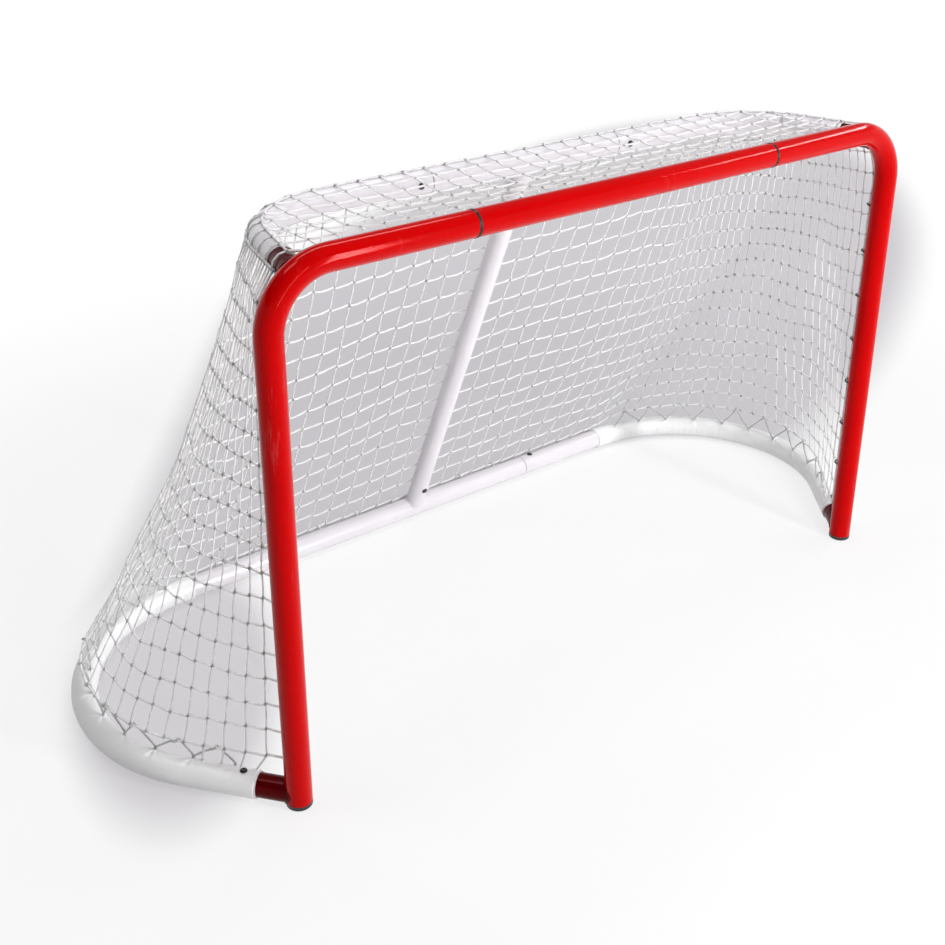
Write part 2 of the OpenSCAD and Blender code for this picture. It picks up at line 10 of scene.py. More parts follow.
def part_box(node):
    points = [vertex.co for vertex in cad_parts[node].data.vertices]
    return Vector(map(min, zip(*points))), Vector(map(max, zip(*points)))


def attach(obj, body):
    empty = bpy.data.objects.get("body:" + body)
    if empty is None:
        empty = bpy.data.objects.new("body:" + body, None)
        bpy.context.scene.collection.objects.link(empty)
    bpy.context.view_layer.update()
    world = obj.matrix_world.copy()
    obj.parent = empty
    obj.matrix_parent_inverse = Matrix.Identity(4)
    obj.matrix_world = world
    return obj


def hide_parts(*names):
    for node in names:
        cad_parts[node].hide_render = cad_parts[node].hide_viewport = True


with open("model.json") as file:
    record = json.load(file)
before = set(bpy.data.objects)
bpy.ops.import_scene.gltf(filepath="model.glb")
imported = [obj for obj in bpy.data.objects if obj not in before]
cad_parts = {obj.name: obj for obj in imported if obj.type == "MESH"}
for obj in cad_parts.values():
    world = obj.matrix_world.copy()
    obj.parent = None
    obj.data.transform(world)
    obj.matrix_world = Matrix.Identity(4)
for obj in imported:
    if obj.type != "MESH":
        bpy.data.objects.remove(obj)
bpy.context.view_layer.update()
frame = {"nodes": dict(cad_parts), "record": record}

scene = bpy.context.scene


# ---------- sizes of the goal, in metres; the goal line is Y = 0 until to_row() ----------

def middle(node):
    low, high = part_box(node)
    return (low + high) / 2


POST_X, GOAL_Y, _ = middle("right_foot_cap")
BAR_Z = middle("crossbar").z
_, base_y, BASE_Z = middle("base_centre_tube")
_, shelf_y, SHELF_Z = middle("shelf_centre_tube")
BASE_DEPTH = base_y - GOAL_Y
SHELF_DEPTH = shelf_y - GOAL_Y
TUBE_R = (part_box("crossbar")[1].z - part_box("crossbar")[0].z) / 2
TUBE_WALL = 0.002

CORNER_R = 0.140
BEND_X = POST_X - CORNER_R
BEND_Z = BAR_Z - CORNER_R
SHELF_X = BEND_X + sqrt(CORNER_R ** 2 - (SHELF_Z - BEND_Z) ** 2)
SEAM_X = 0.457
POST_TUBE_R = 0.027

COVER_OUT_R = 0.03205
COVER_IN_R = 0.03045
COVER_TAIL = 0.030
STUB_SHOW = 0.093
COVER_BACK = 0.004

WIRE_R = 0.00225
LOOP_R = 0.015
LOOP_PITCH = 0.132
LOOP_TILT = radians(45)
POST_LOOP_Z = [0.240 + LOOP_PITCH * k for k in range(7)]
BAR_LOOP_X = [LOOP_PITCH * (k - 5) for k in range(11)]
BASE_LOOP_X = [LOOP_PITCH * (k - 2.5) for k in range(6)]

NET_PLAY = 0.0008
NET_T = 0.004
NET_SAG = 0.058
TOP_SAG = 0.014
LACE_H = 0.036
LACE_PITCH = 0.102
LACE_RISE = 0.022
LACE_TILT = radians(24)
ROPE_R = 0.0035
ROPE_OFF = TUBE_R + NET_PLAY / 2 + ROPE_R
SKIN_OFF = TUBE_R + NET_PLAY + NET_T / 2
EDGE_Y = TUBE_R + LOOP_R + WIRE_R + NET_PLAY + NET_T / 2
EDGE_LOW_Z = BASE_Z + COVER_OUT_R + LACE_H
TOP_Z = SHELF_Z + SKIN_OFF
REST_ON_ROPE = ROPE_OFF + ROPE_R + 0.001
REST_TURN = LOOP_TILT + 0.2
EDGE_LEAVES = 0.08
NORMAL_RISE = 0.25

SIDES = ((-1, "left"), (1, "right"))
UP = Vector((0, 0, 1))
ACROSS = Vector((1, 0, 0))
BACKWARDS = Vector((0, 1, 0))
STILL = Vector((0, 0, 0))


def to_row(x, y, z):
    """A point of the goal-line frame as a point of the row frame."""
    return Vector((x, y + GOAL_Y, z))


def to_side(side, spot):
    """A point of the right half on its own side of the row frame."""
    return to_row(side * spot.x, spot.y, spot.z)


def mix(a, b, k):
    return a * (1 - k) + b * k


def clamp(k):
    return max(0.0, min(1.0, k))


def smooth(k):
    k = clamp(k)
    return k * k * (3 - 2 * k)


def bell(x, width):
    return exp(-(x / width) ** 2)


class HalfFrame:
    """Plan path of a half frame, from the middle of its rear tube out to the post."""

    def __init__(self, x, depth, radius, flare):
        self.x = x
        self.depth = depth
        self.radius = radius
        self.flare = flare
        self.leg = (depth - radius * (1 + sin(flare))) / cos(flare)
        self.straight = x + self.leg * sin(flare) - radius * cos(flare)
        self.centre_y = depth - radius
        self.arc = radius * (pi / 2 + flare)
        self.length = self.straight + self.arc + self.leg

    def angle(self, s):
        """Direction of the outward normal at the distance s from the middle."""
        if s <= self.straight:
            return pi / 2
        return max(-self.flare, pi / 2 - (s - self.straight) / self.radius)

    def point(self, s, off=0.0):
        a = self.angle(s)
        if s <= self.straight:
            return s, self.depth + off
        if s <= self.straight + self.arc:
            reach = self.radius + off
            return self.straight + reach * cos(a), self.centre_y + reach * sin(a)
        rest = self.length - s
        return (self.x + rest * sin(self.flare) + off * cos(a),
                rest * cos(self.flare) + off * sin(a))


BASE = HalfFrame(POST_X, BASE_DEPTH, 0.418, radians(38.5))
SHELF = HalfFrame(SHELF_X, SHELF_DEPTH, 0.255, radians(-14))
BASE_L = BASE.length - EDGE_Y
SHELF_L = SHELF.length - EDGE_Y
BACK_SHARE = BASE.straight / BASE_L
POST_LEAN = atan2(BASE_DEPTH - SHELF_DEPTH, SHELF_Z - BASE_Z)


def shelf_reach(s):
    if s <= SHELF.straight:
        return s
    share = (s - SHELF.straight) / (BASE_L - SHELF.straight)
    return SHELF.straight + (SHELF_L - SHELF.straight) * share


def low_edge(t):
    """Lower edge of the net: on the rear rope, and a lace's height above the covers."""
    s = t * BASE_L
    k = smooth((s - BASE.straight + COVER_TAIL) / LACE_PITCH)
    x, y = BASE.point(s, mix(REST_ON_ROPE * cos(REST_TURN), 0, k))
    round_bend = clamp((s - BASE.straight) / (BASE_L - BASE.straight))
    over = EDGE_LOW_Z + LACE_RISE * sin(pi * round_bend) ** 2
    return Vector((x, y, mix(BASE_Z + REST_ON_ROPE * sin(REST_TURN), over, k)))


def top_edge(t):
    x, y = SHELF.point(shelf_reach(t * BASE_L), SKIN_OFF)
    return Vector((x, y, SHELF_Z))


def edge_x(z):
    """The edge beside the post follows the post, then its corner."""
    x1 = top_edge(1).x
    k = clamp((z - BEND_Z) / (SHELF_Z - BEND_Z))
    return x1 + (POST_X - x1) * sqrt(1 - k * k)


def edge_y(z):
    """The edge lies against the post's rope, and leaves it round the corner."""
    return mix(REST_ON_ROPE, EDGE_Y, smooth((z - BEND_Z) / EDGE_LEAVES))


def net_point(t, v):
    """A point of the side and back nets: t runs from the middle to the post, v upwards."""
    flat = mix(low_edge(t), top_edge(t), v)
    n = BASE.angle(t * BASE_L)
    inward = NET_SAG * sin(pi * t) ** 2 * sin(pi * v)
    edge = mix(low_edge(1), top_edge(1), v)
    pull = clamp((t - BACK_SHARE) / (1 - BACK_SHARE)) ** 4
    return Vector((flat.x - inward * cos(n) + pull * (edge_x(edge.z) - edge.x),
                   flat.y - inward * sin(n) + pull * (edge_y(edge.z) - edge.y),
                   flat.z))


def net_normal(t):
    n = BASE.angle(t * BASE_L)
    return Vector((cos(n), sin(n), NORMAL_RISE)).normalized()


# ---------- camera ----------

def put(name, data):
    """A new object in the scene."""
    made = bpy.data.objects.new(name, data)
    scene.collection.objects.link(made)
    return made


CAMERA_YAW = radians(37.713)
CAMERA_PITCH = radians(23.880)
SENSOR_WIDTH = 36

camera = put("camera", bpy.data.cameras.new("camera"))
camera.data.sensor_width = SENSOR_WIDTH
camera.data.lens = 1317.9 / 945 * SENSOR_WIDTH
camera.data.shift_y = -0.1
camera.data.clip_end = 200
camera.location = to_row(-2.0480, -2.0561, 2.0538)
camera.rotation_euler = (pi / 2 - CAMERA_PITCH, 0, -CAMERA_YAW)
scene.camera = camera


# ---------- short calls for node trees ----------

def socket_of(sockets, name):
    """The socket with a number or a name, or else the first one in use."""
    if isinstance(name, int):
        return sockets[name]
    return next(s for s in sockets if s.enabled and name in (None, s.name))


class Made:
    """A node of a tree. As a value it is the node's first output, [name] is another of its
    outputs, and plain arithmetic on it adds the nodes that do it."""

    def __init__(self, tree, node, name=None):
        self.tree = tree
        self.node = node
        self.name = name

    def __getitem__(self, name):
        return Made(self.tree, self.node, name)

    def __add__(self, other):
        return self.tree.math("ADD", self, other)

    def __sub__(self, other):
        return self.tree.math("SUBTRACT", self, other)

    def __rsub__(self, other):
        return self.tree.math("SUBTRACT", other, self)

    def __mul__(self, other):
        return self.tree.math("MULTIPLY", self, other)

    def __truediv__(self, other):
        return self.tree.math("DIVIDE", self, other)


class Tree:
    """A node tree, and short calls that add to it."""

    def __init__(self, data):
        self.data = data

    def feed(self, value, socket):
        """Links a made value, or sets a plain one."""
        if isinstance(value, Made):
            self.data.links.new(socket_of(value.node.outputs, value.name), socket)
        else:
            socket.default_value = value

    def add(self, kind, inputs=None, **settings):
        node = self.data.nodes.new(kind)
        for key, value in settings.items():
            setattr(node, key, value)
        for name, value in (inputs or {}).items():
            self.feed(value, socket_of(node.inputs, name))
        return Made(self, node)

    def math(self, operation, *values, clamped=False):
        return self.add("ShaderNodeMath", dict(enumerate(values)), operation=operation,
                        use_clamp=clamped)

    def vector(self, operation, *values):
        places = (0, "Scale") if operation == "SCALE" else range(3)
        return self.add("ShaderNodeVectorMath", dict(zip(places, values)), operation=operation)

    def combine(self, x, y, z):
        return self.add("ShaderNodeCombineXYZ", {"X": x, "Y": y, "Z": z})

    def split(self, vector):
        return self.add("ShaderNodeSeparateXYZ", {"Vector": vector})

    def place(self):
        return self.add("ShaderNodeTexCoord")["Object"]

    def noise(self, scale, detail, roughness=0.5, place=None):
        return self.add("ShaderNodeTexNoise", {
            "Vector": place or self.place(), "Scale": scale, "Detail": detail,
            "Roughness": roughness})

    def blend(self, factor, a, b):
        return self.add("ShaderNodeMix", {"Factor": factor, "A": a, "B": b}, data_type="RGBA")

    def ease(self, value, first, last, low=0.0):
        """A smooth step from low at first to 1 at last."""
        return self.add("ShaderNodeMapRange", {
            "Value": value, "From Min": first, "From Max": last, "To Min": low},
            interpolation_type="SMOOTHSTEP")

    def seen(self):
        """1 where the camera looks, straight on or in gloss and glass."""
        path = self.add("ShaderNodeLightPath")
        return self.math("ADD", path["Is Camera Ray"],
                         path["Is Glossy Ray"] + path["Is Transmission Ray"], clamped=True)

    def use(self, effect, **inputs):
        """A shared effect with its own values."""
        return self.add("ShaderNodeGroup", inputs, node_tree=effect.data)


def sine(value):
    return value.tree.math("SINE", value)


def cosine(value):
    return value.tree.math("COSINE", value)


def absolute(value):
    return value.tree.math("ABSOLUTE", value)


def scaled(vector, size):
    return vector.tree.vector("SCALE", vector, size)


def past(value, level, gain):
    """How far a value is above a level, times a gain, kept between 0 and 1."""
    return value.tree.math("MULTIPLY", value - level, gain, clamped=True)


def ranged(value, low, high):
    """A 0 to 1 value spread from low to high."""
    return value * (high - low) + low


def new_group(name, kind, inputs, outputs):
    """A node group; inputs and outputs give each socket's name and type."""
    group = bpy.data.node_groups.new(name, kind)
    for way, sockets in (("INPUT", inputs), ("OUTPUT", outputs)):
        for label, form in sockets.items():
            group.interface.new_socket(label, in_out=way, socket_type="NodeSocket" + form)
    tree = Tree(group)
    return tree, tree.add("NodeGroupInput")


def end_group(tree, **outputs):
    tree.add("NodeGroupOutput", outputs)
    return tree


# ---------- shared surface effects ----------

def new_effect(name, outputs, **inputs):
    return new_group(name, "ShaderNodeTree", inputs, dict.fromkeys(outputs, "Float"))


def make_orange_peel():
    tree, start = new_effect("orange_peel", ("Height", "Cloud"), Scale="Float")
    return end_group(tree, Height=tree.noise(start["Scale"], 2.0), Cloud=tree.noise(9.0, 3.0))


def make_scuffs():
    """Fine scratches and rubbed patches, as a mask."""
    tree, start = new_effect("scuffs", ("Mask",), Amount="Float", Stretch="Vector")
    drawn = tree.vector("MULTIPLY", tree.place(), start["Stretch"])
    thin = past(tree.noise(60.0, 6.0, 0.7, drawn), 0.58, 9.0)
    where = past(tree.noise(5.0, 2.0), 0.50, 6.0)
    return end_group(tree, Mask=thin * where * start["Amount"])


def make_dust():
    """Dust that settles on faces that look upwards, as a mask."""
    tree, start = new_effect("dust", ("Mask",), Amount="Float")
    normal = tree.split(tree.add("ShaderNodeNewGeometry")["Normal"])
    up = tree.math("MULTIPLY", normal["Z"], 1.0, clamped=True)
    grains = past(tree.noise(160.0, 5.0, 0.75), 0.45, 3.0)
    lying = grains * tree.noise(7.0, 3.0) * up
    return end_group(tree, Mask=lying * start["Amount"])


def make_strands():
    """Ridges of a twisted cord and a mask of the grooves between them, for painted shade, from
    the angle round it and the distance along it.
    """
    tree, start = new_effect("strands", ("Height", "Groove"), Count="Float", Turns="Float")
    around = tree.split(tree.add("ShaderNodeAttribute", attribute_name="around")["Vector"])
    along = tree.add("ShaderNodeAttribute", attribute_name="along")["Fac"]
    angle = tree.math("ARCTAN2", around["Y"], around["X"])
    phase = (angle + along * start["Turns"] * (2 * pi)) * (start["Count"] * 0.5)
    ridge = absolute(sine(phase))
    groove_shade = tree.math("SUBTRACT", 1.0, ridge * 2.2, clamped=True)
    return end_group(tree, Height=ridge + tree.noise(1800.0, 2.0) * 0.35, Groove=groove_shade)


def make_grain():
    """Small leathery cells of a coated cloth or moulded rubber."""
    tree, start = new_effect("grain", ("Height", "Cloud"), Scale="Float")
    cells = tree.add("ShaderNodeTexVoronoi", {"Vector": tree.place(), "Scale": start["Scale"]},
                     feature="SMOOTH_F1")
    return end_group(tree, Height=cells["Distance"], Cloud=tree.noise(6.0, 4.0))


orange_peel = make_orange_peel()
scuffs = make_scuffs()
dust = make_dust()
strands = make_strands()
grain = make_grain()


# ---------- finishes, by the name of the slot that they are for ----------

FINISHES = {}
WHITE = (1, 1, 1, 1)
PAINT_DUST = (0.62, 0.60, 0.58, 1)
RUBBER_DUST = (0.4, 0.4, 0.4, 1)
VINYL_DIRT = (0.5, 0.49, 0.47, 1)


def new_finish(name):
    material = bpy.data.materials.new(name)
    material.use_nodes = True
    FINISHES[name] = material
    return Tree(material.node_tree)


def end_finish(tree, color, roughness, height, depth, plain=None):
    """Colour, gloss and bump of a finish, and the shader's plain values."""
    bump = tree.add("ShaderNodeBump", {"Height": height, "Distance": depth, "Strength": 1.0})
    inputs = {"Base Color": color, "Roughness": roughness, "Normal": bump, **(plain or {})}
    for name, value in inputs.items():
        tree.feed(value, tree.data.nodes["Principled BSDF"].inputs[name])


def greyed(color, grey, share):
    """A colour mixed with a share of grey."""
    return tuple(mix(c, grey, share) for c in color[:3]) + (1,)


def paint(name, color, tint, roughness, peel, dusty, gleam, gleam_tint=WHITE):
    """Baked-on paint: slight orange peel, cloudy gloss, fine scuffs and a little dust."""
    tree = new_finish(name)
    skin = tree.use(orange_peel, Scale=420.0)
    marks = tree.use(scuffs, Amount=0.5, Stretch=(1.0, 1.0, 0.12))
    lying = tree.use(dust, Amount=dusty)
    shade = tree.blend(skin["Cloud"], color, tint)
    worn = tree.blend(marks * 0.35, shade, greyed(color, 0.6, 0.3))
    gloss = ranged(skin["Cloud"], roughness * 0.8, roughness * 1.25)
    end_finish(tree, tree.blend(lying, worn, PAINT_DUST), gloss + marks * 0.18 + lying * 0.4,
               skin["Height"], peel,
               {"Specular IOR Level": gleam, "Specular Tint": gleam_tint})


def steel(name, color, roughness, turned):
    """Plated steel with fine tool marks and darker blooms."""
    tree = new_finish(name)
    drawn = tree.vector("MULTIPLY", tree.place(), turned)
    bloom = tree.noise(90.0, 4.0)
    shade = tree.blend(ranged(bloom, -0.2, 0.9), color, greyed(color, 0, 0.4))
    end_finish(tree, shade, ranged(bloom, roughness * 0.6, roughness * 1.6),
               tree.noise(500.0, 3.0, place=drawn), 0.00003, {"Metallic": 1.0})


def rubber(name, color):
    tree = new_finish(name)
    cells = tree.use(grain, Scale=900.0)
    shade = tree.blend(ranged(cells["Cloud"], -0.3, 0.5), color, greyed(color, 0.25, 0.25))
    dusted = tree.blend(tree.use(dust, Amount=0.5), shade, RUBBER_DUST)
    end_finish(tree, dusted, ranged(cells["Cloud"], 0.22, 0.5), cells["Height"], 0.00008)


def coated_cloth(name, color, tint):
    """White vinyl: a fine grain, a soft shine and grey dirt in patches."""
    tree = new_finish(name)
    cells = tree.use(grain, Scale=700.0)
    shade = tree.blend(cells["Cloud"], color, tint)
    soiled = tree.blend(tree.use(dust, Amount=0.25), shade, VINYL_DIRT)
    end_finish(tree, soiled, ranged(cells["Cloud"], 0.26, 0.46), cells["Height"], 0.00006,
               {"Sheen Weight": 0.1})


def twisted(name, color, groove_shade_color, count, turns, depth):
    """Twisted white cord: ridges of its strands, painted shade in the grooves between them and
    a soft sheen.
    """
    tree = new_finish(name)
    lay = tree.use(strands, Count=float(count), Turns=float(turns))
    cloud = tree.noise(14.0, 3.0)
    shade = tree.blend(ranged(cloud, -0.2, 0.9), color, greyed(color, 0, 0.14))
    # Painted shade: the grooves between strands take the darker groove colour.
    end_finish(tree, tree.blend(lay["Groove"] * 0.7, shade, groove_shade_color),
               ranged(cloud, 0.5, 0.75), lay["Height"], depth,
               {"Sheen Weight": 0.4, "Subsurface Weight": 0.85,
                "Subsurface Radius": (1.0, 1.0, 1.0), "Subsurface Scale": 0.012})


paint("red_paint", (0.54, 0.0004, 0.0008, 1), (0.48, 0.0003, 0.0008, 1),
      0.10, 0.00004, 0.0, 0.18, (1.0, 0.22, 0.22, 1))
# dark_red_paint: a darker copy of the red for the stubs and their welds, painted shade for
# their place behind the posts.
paint("dark_red_paint", (0.10, 0.0006, 0.0015, 1), (0.07, 0.0005, 0.0015, 1),
      0.16, 0.00005, 0.0, 0.12, (1.0, 0.3, 0.3, 1))
paint("white_paint", (0.80, 0.77, 0.81, 1), (0.76, 0.73, 0.77, 1), 0.16, 0.00005, 0.10, 0.5)
# black_wire: near black; on the wire loops and their welds this black is painted shade,
# standing for their red wire in shade; the crossbar's seam rings use it as well.
paint("black_wire", (0.012, 0.012, 0.014, 1), (0.02, 0.02, 0.02, 1), 0.3, 0.00006, 0.05, 0.4)
steel("sleeve_steel", (0.045, 0.045, 0.05, 1), 0.5, (0.05, 1.0, 1.0))
steel("screw_steel", (0.10, 0.10, 0.11, 1), 0.24, (1.0, 1.0, 1.0))
rubber("cap_rubber", (0.012, 0.012, 0.013, 1))
coated_cloth("vinyl", (0.95, 0.95, 0.955, 1), (0.90, 0.90, 0.91, 1))
# The second colour of each cord is the painted shade in its grooves.
twisted("net_cord", (0.97, 0.97, 0.975, 1), (0.82, 0.82, 0.84, 1), 2, 170, 0.0004)
twisted("rope", (0.84, 0.84, 0.85, 1), (0.40, 0.40, 0.42, 1), 6, 260, 0.0003)

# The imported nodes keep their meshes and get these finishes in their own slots.
for part in frame["record"]["subparts"]:
    for place in frame["nodes"][part["node"]].material_slots:
        place.material = FINISHES[part["material_slot"]]


# ---------- shapes made by Geometry Nodes ----------

KNOT_SIZE = 0.0011
KNOT_CORD_R = 0.0016


def attribute(tree, name, form="FLOAT"):
    return tree.add("GeometryNodeInputNamedAttribute", {"Name": name}, data_type=form)


def store(tree, shape, name, value, form="FLOAT"):
    return tree.add("GeometryNodeStoreNamedAttribute",
                    {"Geometry": shape, "Name": name, "Value": value},
                    data_type=form, domain="POINT")


def spline(tree, what):
    """Length along its spline, or Factor from 0 to 1."""
    return tree.add("GeometryNodeSplineParameter")[what]


def circle(tree, sides, radius):
    return tree.add("GeometryNodeCurvePrimitiveCircle",
                    {"Resolution": sides, "Radius": radius}, mode="RADIUS")


def even_curve(tree, start):
    """The start mesh as a curve with a point at each step."""
    curve = tree.add("GeometryNodeMeshToCurve", {"Mesh": start["Geometry"]})
    return tree.add("GeometryNodeResampleCurve", {"Curve": curve, "Length": start["Step"]},
                    mode="LENGTH")


def facing_outward(tree):
    """The turn that stands a shape across its point's outward direction."""
    return tree.add("FunctionNodeAlignRotationToVector",
                    {"Vector": attribute(tree, "outward", "FLOAT_VECTOR")}, axis="Z")


def random_of(tree, low, high, number, seed):
    return tree.add("FunctionNodeRandomValue",
                    {"Min": low, "Max": high, "ID": number, "Seed": seed}, data_type="FLOAT")


def tube_of(tree, curve, sides, radius, scale=1.0):
    """A closed round tube on a curve; the finish gets the direction round it and the
    distance along it."""
    around = tree.vector("NORMALIZE", tree.add("GeometryNodeInputPosition"))
    profile = store(tree, circle(tree, sides, radius), "around", around, "FLOAT_VECTOR")
    tube = tree.add("GeometryNodeCurveToMesh", {
        "Curve": store(tree, curve, "along", spline(tree, "Length")),
        "Profile Curve": profile, "Scale": scale, "Fill Caps": True})
    return tree.add("GeometryNodeSetShadeSmooth", {"Geometry": tube})


def knot_shape(tree, size):
    """A small closed overhand knot of cord, a few dozen faces."""
    turn = spline(tree, "Factor") * (2 * pi)
    double = turn * 2.0
    spot = tree.combine(sine(turn) + sine(double) * 2.0, cosine(turn) - cosine(double) * 2.0,
                        sine(turn * 3.0) * -1.3)
    bent = tree.add("GeometryNodeSetPosition", {
        "Geometry": circle(tree, 16, 1.0), "Position": scaled(spot, size)})
    return tube_of(tree, bent, 4, KNOT_CORD_R)


def titled(sizes):
    """The sizes of a shape under their sockets' names."""
    return {label.replace("_", " ").title(): size for label, size in sizes.items()}


def new_shape(name, **sizes):
    """A tree that makes a shape from a start mesh, with its sizes as named inputs."""
    inputs = {"Geometry": "Geometry", **titled(sizes), "Finish": "Material"}
    return new_group(name, "GeometryNodeTree", inputs, {"Geometry": "Geometry"})


def end_shape(tree, start, *shapes):
    """Joins the shapes and ends the tree in Realize Instances and Set Material."""
    joined = tree.add("GeometryNodeJoinGeometry")
    for shape in reversed(shapes):
        tree.feed(shape, joined.node.inputs[0])
    real = tree.add("GeometryNodeRealizeInstances", {"Geometry": joined})
    return end_group(tree, Geometry=tree.add("GeometryNodeSetMaterial", {
        "Geometry": real, "Material": start["Finish"]}))


def make_net_tree():
    """Cords between knots: each start edge becomes a sagging cord, each loose point a knot."""
    tree, start = new_shape("net_cords", segments="Int", sides="Int", knot_size="Float",
                            seed="Int")
    seed = start["Seed"]
    split = tree.add("GeometryNodeSeparateGeometry", {
        "Geometry": start["Geometry"],
        "Selection": tree.math("GREATER_THAN", attribute(tree, "knot"), 0.5)}, domain="POINT")
    curves = tree.add("GeometryNodeMeshToCurve", {"Mesh": split["Inverted"]})
    fine = tree.add("GeometryNodeResampleCurve",
                    {"Curve": curves, "Count": start["Segments"]}, mode="COUNT")
    factor = spline(tree, "Factor")
    arch = factor * (1.0 - factor) * 4.0
    number = tree.add("GeometryNodeCurveOfPoint")["Curve Index"]
    sag = scaled(attribute(tree, "sag", "FLOAT_VECTOR"),
                 random_of(tree, 0.5, 1.5, number, seed))
    bow = scaled(attribute(tree, "bow", "FLOAT_VECTOR"),
                 random_of(tree, -1.0, 1.0, number, seed + 7))
    offset = scaled(tree.vector("ADD", sag, bow), arch)
    hung = tree.add("GeometryNodeSetPosition", {"Geometry": fine, "Offset": offset})
    cords = tube_of(tree, hung, start["Sides"], 1.0, attribute(tree, "thickness"))
    index = tree.add("GeometryNodeInputIndex")
    spin = tree.combine(0.0, 0.0, random_of(tree, -1.6, 1.6, index, seed))
    turned = tree.add("FunctionNodeRotateRotation", {
        0: facing_outward(tree), 1: tree.add("FunctionNodeEulerToRotation", {0: spin})},
        rotation_space="LOCAL")
    knots = tree.add("GeometryNodeInstanceOnPoints", {
        "Points": split["Selection"], "Instance": knot_shape(tree, start["Knot Size"]),
        "Rotation": turned, "Scale": random_of(tree, 0.85, 1.15, index, seed + 3)})
    return end_shape(tree, start, cords, knots)


def make_rope_tree():
    """A rope of strands laid round a path; the path's spread opens or closes the lay."""
    tree, start = new_shape("laid_rope", strands="Int", lay_radius="Float",
                            strand_radius="Float", pitch="Float", step="Float")
    copies = tree.add("GeometryNodeDuplicateElements", {
        "Geometry": even_curve(tree, start), "Amount": start["Strands"]}, domain="SPLINE")
    share = copies["Duplicate Index"] / start["Strands"]
    angle = (spline(tree, "Length") / start["Pitch"] + share) * (2 * pi)
    normal = tree.add("GeometryNodeInputNormal")["Normal"]
    across = tree.vector("CROSS_PRODUCT", tree.add("GeometryNodeInputTangent"), normal)
    swing = tree.vector("ADD", scaled(normal, cosine(angle)), scaled(across, sine(angle)))
    reach = start["Lay Radius"] * attribute(tree, "spread")
    laid = tree.add("GeometryNodeSetPosition", {
        "Geometry": copies, "Offset": scaled(swing, reach)})
    return end_shape(tree, start, tube_of(tree, laid, 6, start["Strand Radius"]))


def make_bead_tree():
    """A weld bead with ripples, along a closed path."""
    tree, start = new_shape("weld_bead", radius="Float", ripple="Float", step="Float")
    size = absolute(sine(spline(tree, "Length") * pi / start["Ripple"])) * 0.3 + 0.8
    bead = tube_of(tree, even_curve(tree, start), 8, start["Radius"], size)
    return end_shape(tree, start, bead)


def make_ring_tree():
    """Small rings on points, each standing across its point's outward direction."""
    tree, start = new_shape("small_rings", ring_radius="Float", wire_radius="Float",
                            round="Int")
    ring = tube_of(tree, circle(tree, start["Round"], start["Ring Radius"]), 6,
                   start["Wire Radius"])
    placed = tree.add("GeometryNodeInstanceOnPoints", {
        "Points": start["Geometry"], "Instance": ring, "Rotation": facing_outward(tree)})
    return end_shape(tree, start, placed)


net_tree = make_net_tree()
rope_tree = make_rope_tree()
bead_tree = make_bead_tree()
ring_tree = make_ring_tree()


def start_mesh(name, points, edges, **attributes):
    mesh = bpy.data.meshes.new(name)
    mesh.from_pydata([tuple(p) for p in points], edges, [])
    for label, values in attributes.items():
        flat = np.array([tuple(v) if hasattr(v, "__len__") else v for v in values],
                        dtype=np.float32)
        form, field = ("FLOAT_VECTOR", "vector") if flat.ndim == 2 else ("FLOAT", "value")
        layer = mesh.attributes.new(label, form, "POINT")
        layer.data.foreach_set(field, flat.ravel())
    return mesh


def settle(piece, slot, *nodes):
    """Rides a finished piece on the goal and hides the nodes that it stands for; slot is not
    used.
    """
    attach(piece, "root")
    if nodes:
        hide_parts(*nodes)


def grow(name, mesh, tree, slot, *nodes, **sizes):
    """Runs a shape's tree on a start mesh and settles the result as a plain piece."""
    seedling = put(name + "_start", mesh)
    modifier = seedling.modifiers.new("shape", "NODES")
    modifier.node_group = tree.data
    wanted = {**titled(sizes), "Finish": FINISHES[slot]}
    for item in tree.data.interface.items_tree:
        if item.in_out == "INPUT" and item.name in wanted:
            modifier[item.identifier] = wanted[item.name]
    depsgraph = bpy.context.evaluated_depsgraph_get()
    result = bpy.data.meshes.new_from_object(
        seedling.evaluated_get(depsgraph), preserve_all_data_layers=True, depsgraph=depsgraph)
    seedling.modifiers.remove(modifier)
    bpy.data.objects.remove(seedling)
    result.name = name
    settle(put(name, result), slot, *nodes)


# ---------- net ----------

COLUMNS = 38
BACK_COLUMNS = 13
ROWS = 18
PITCH = BASE.straight / BACK_COLUMNS
SIDE_PITCH = (BASE_L - BASE.straight) / (COLUMNS - BACK_COLUMNS)
ROW_R = 0.0025
COLUMN_R = 0.0021
BORDER_R = 0.0029
ROW_SAG = 0.0020
ROW_BOW = 0.002
COLUMN_BOW = 0.0024
BORDER_SAG_SHARE = 0.15
KNOT_STEP = 0.0024
KNOT_SCATTER = 0.0020
LOW_ROWS_TALLER = 0.12
WAVE = 0.0030
SLACK_WAVE = 0.0075

rng = random.Random(11)


def jitter(size):
    return Vector([rng.uniform(-size, size) for _ in range(3)])


def share_of(i):
    """How far column i stands from the middle to the post, as a share of the lower edge."""
    i = abs(i)
    if i <= BACK_COLUMNS:
        return i * PITCH / BASE_L
    return (BASE.straight + (i - BACK_COLUMNS) * SIDE_PITCH) / BASE_L


def wander(i, j):
    """Slow waves of a slack net, more in the lower half of the side nets."""
    t = share_of(i)
    v = j / ROWS
    slack = WAVE + SLACK_WAVE * smooth((t - 0.45) / 0.2) * (1 - smooth((v - 0.3) / 0.5))
    edge = min(1.0, 5 * v, 5 * (1 - v), 4 * (1 - t))
    wave = sin(0.9 * i + 0.5 * j + 1.3 * sin(0.37 * j))
    lift = sin(0.63 * i - 0.8 * j + 1.1 * sin(0.29 * i + 2.0))
    return edge * slack * (wave * 0.5 * net_normal(t) + lift * UP)


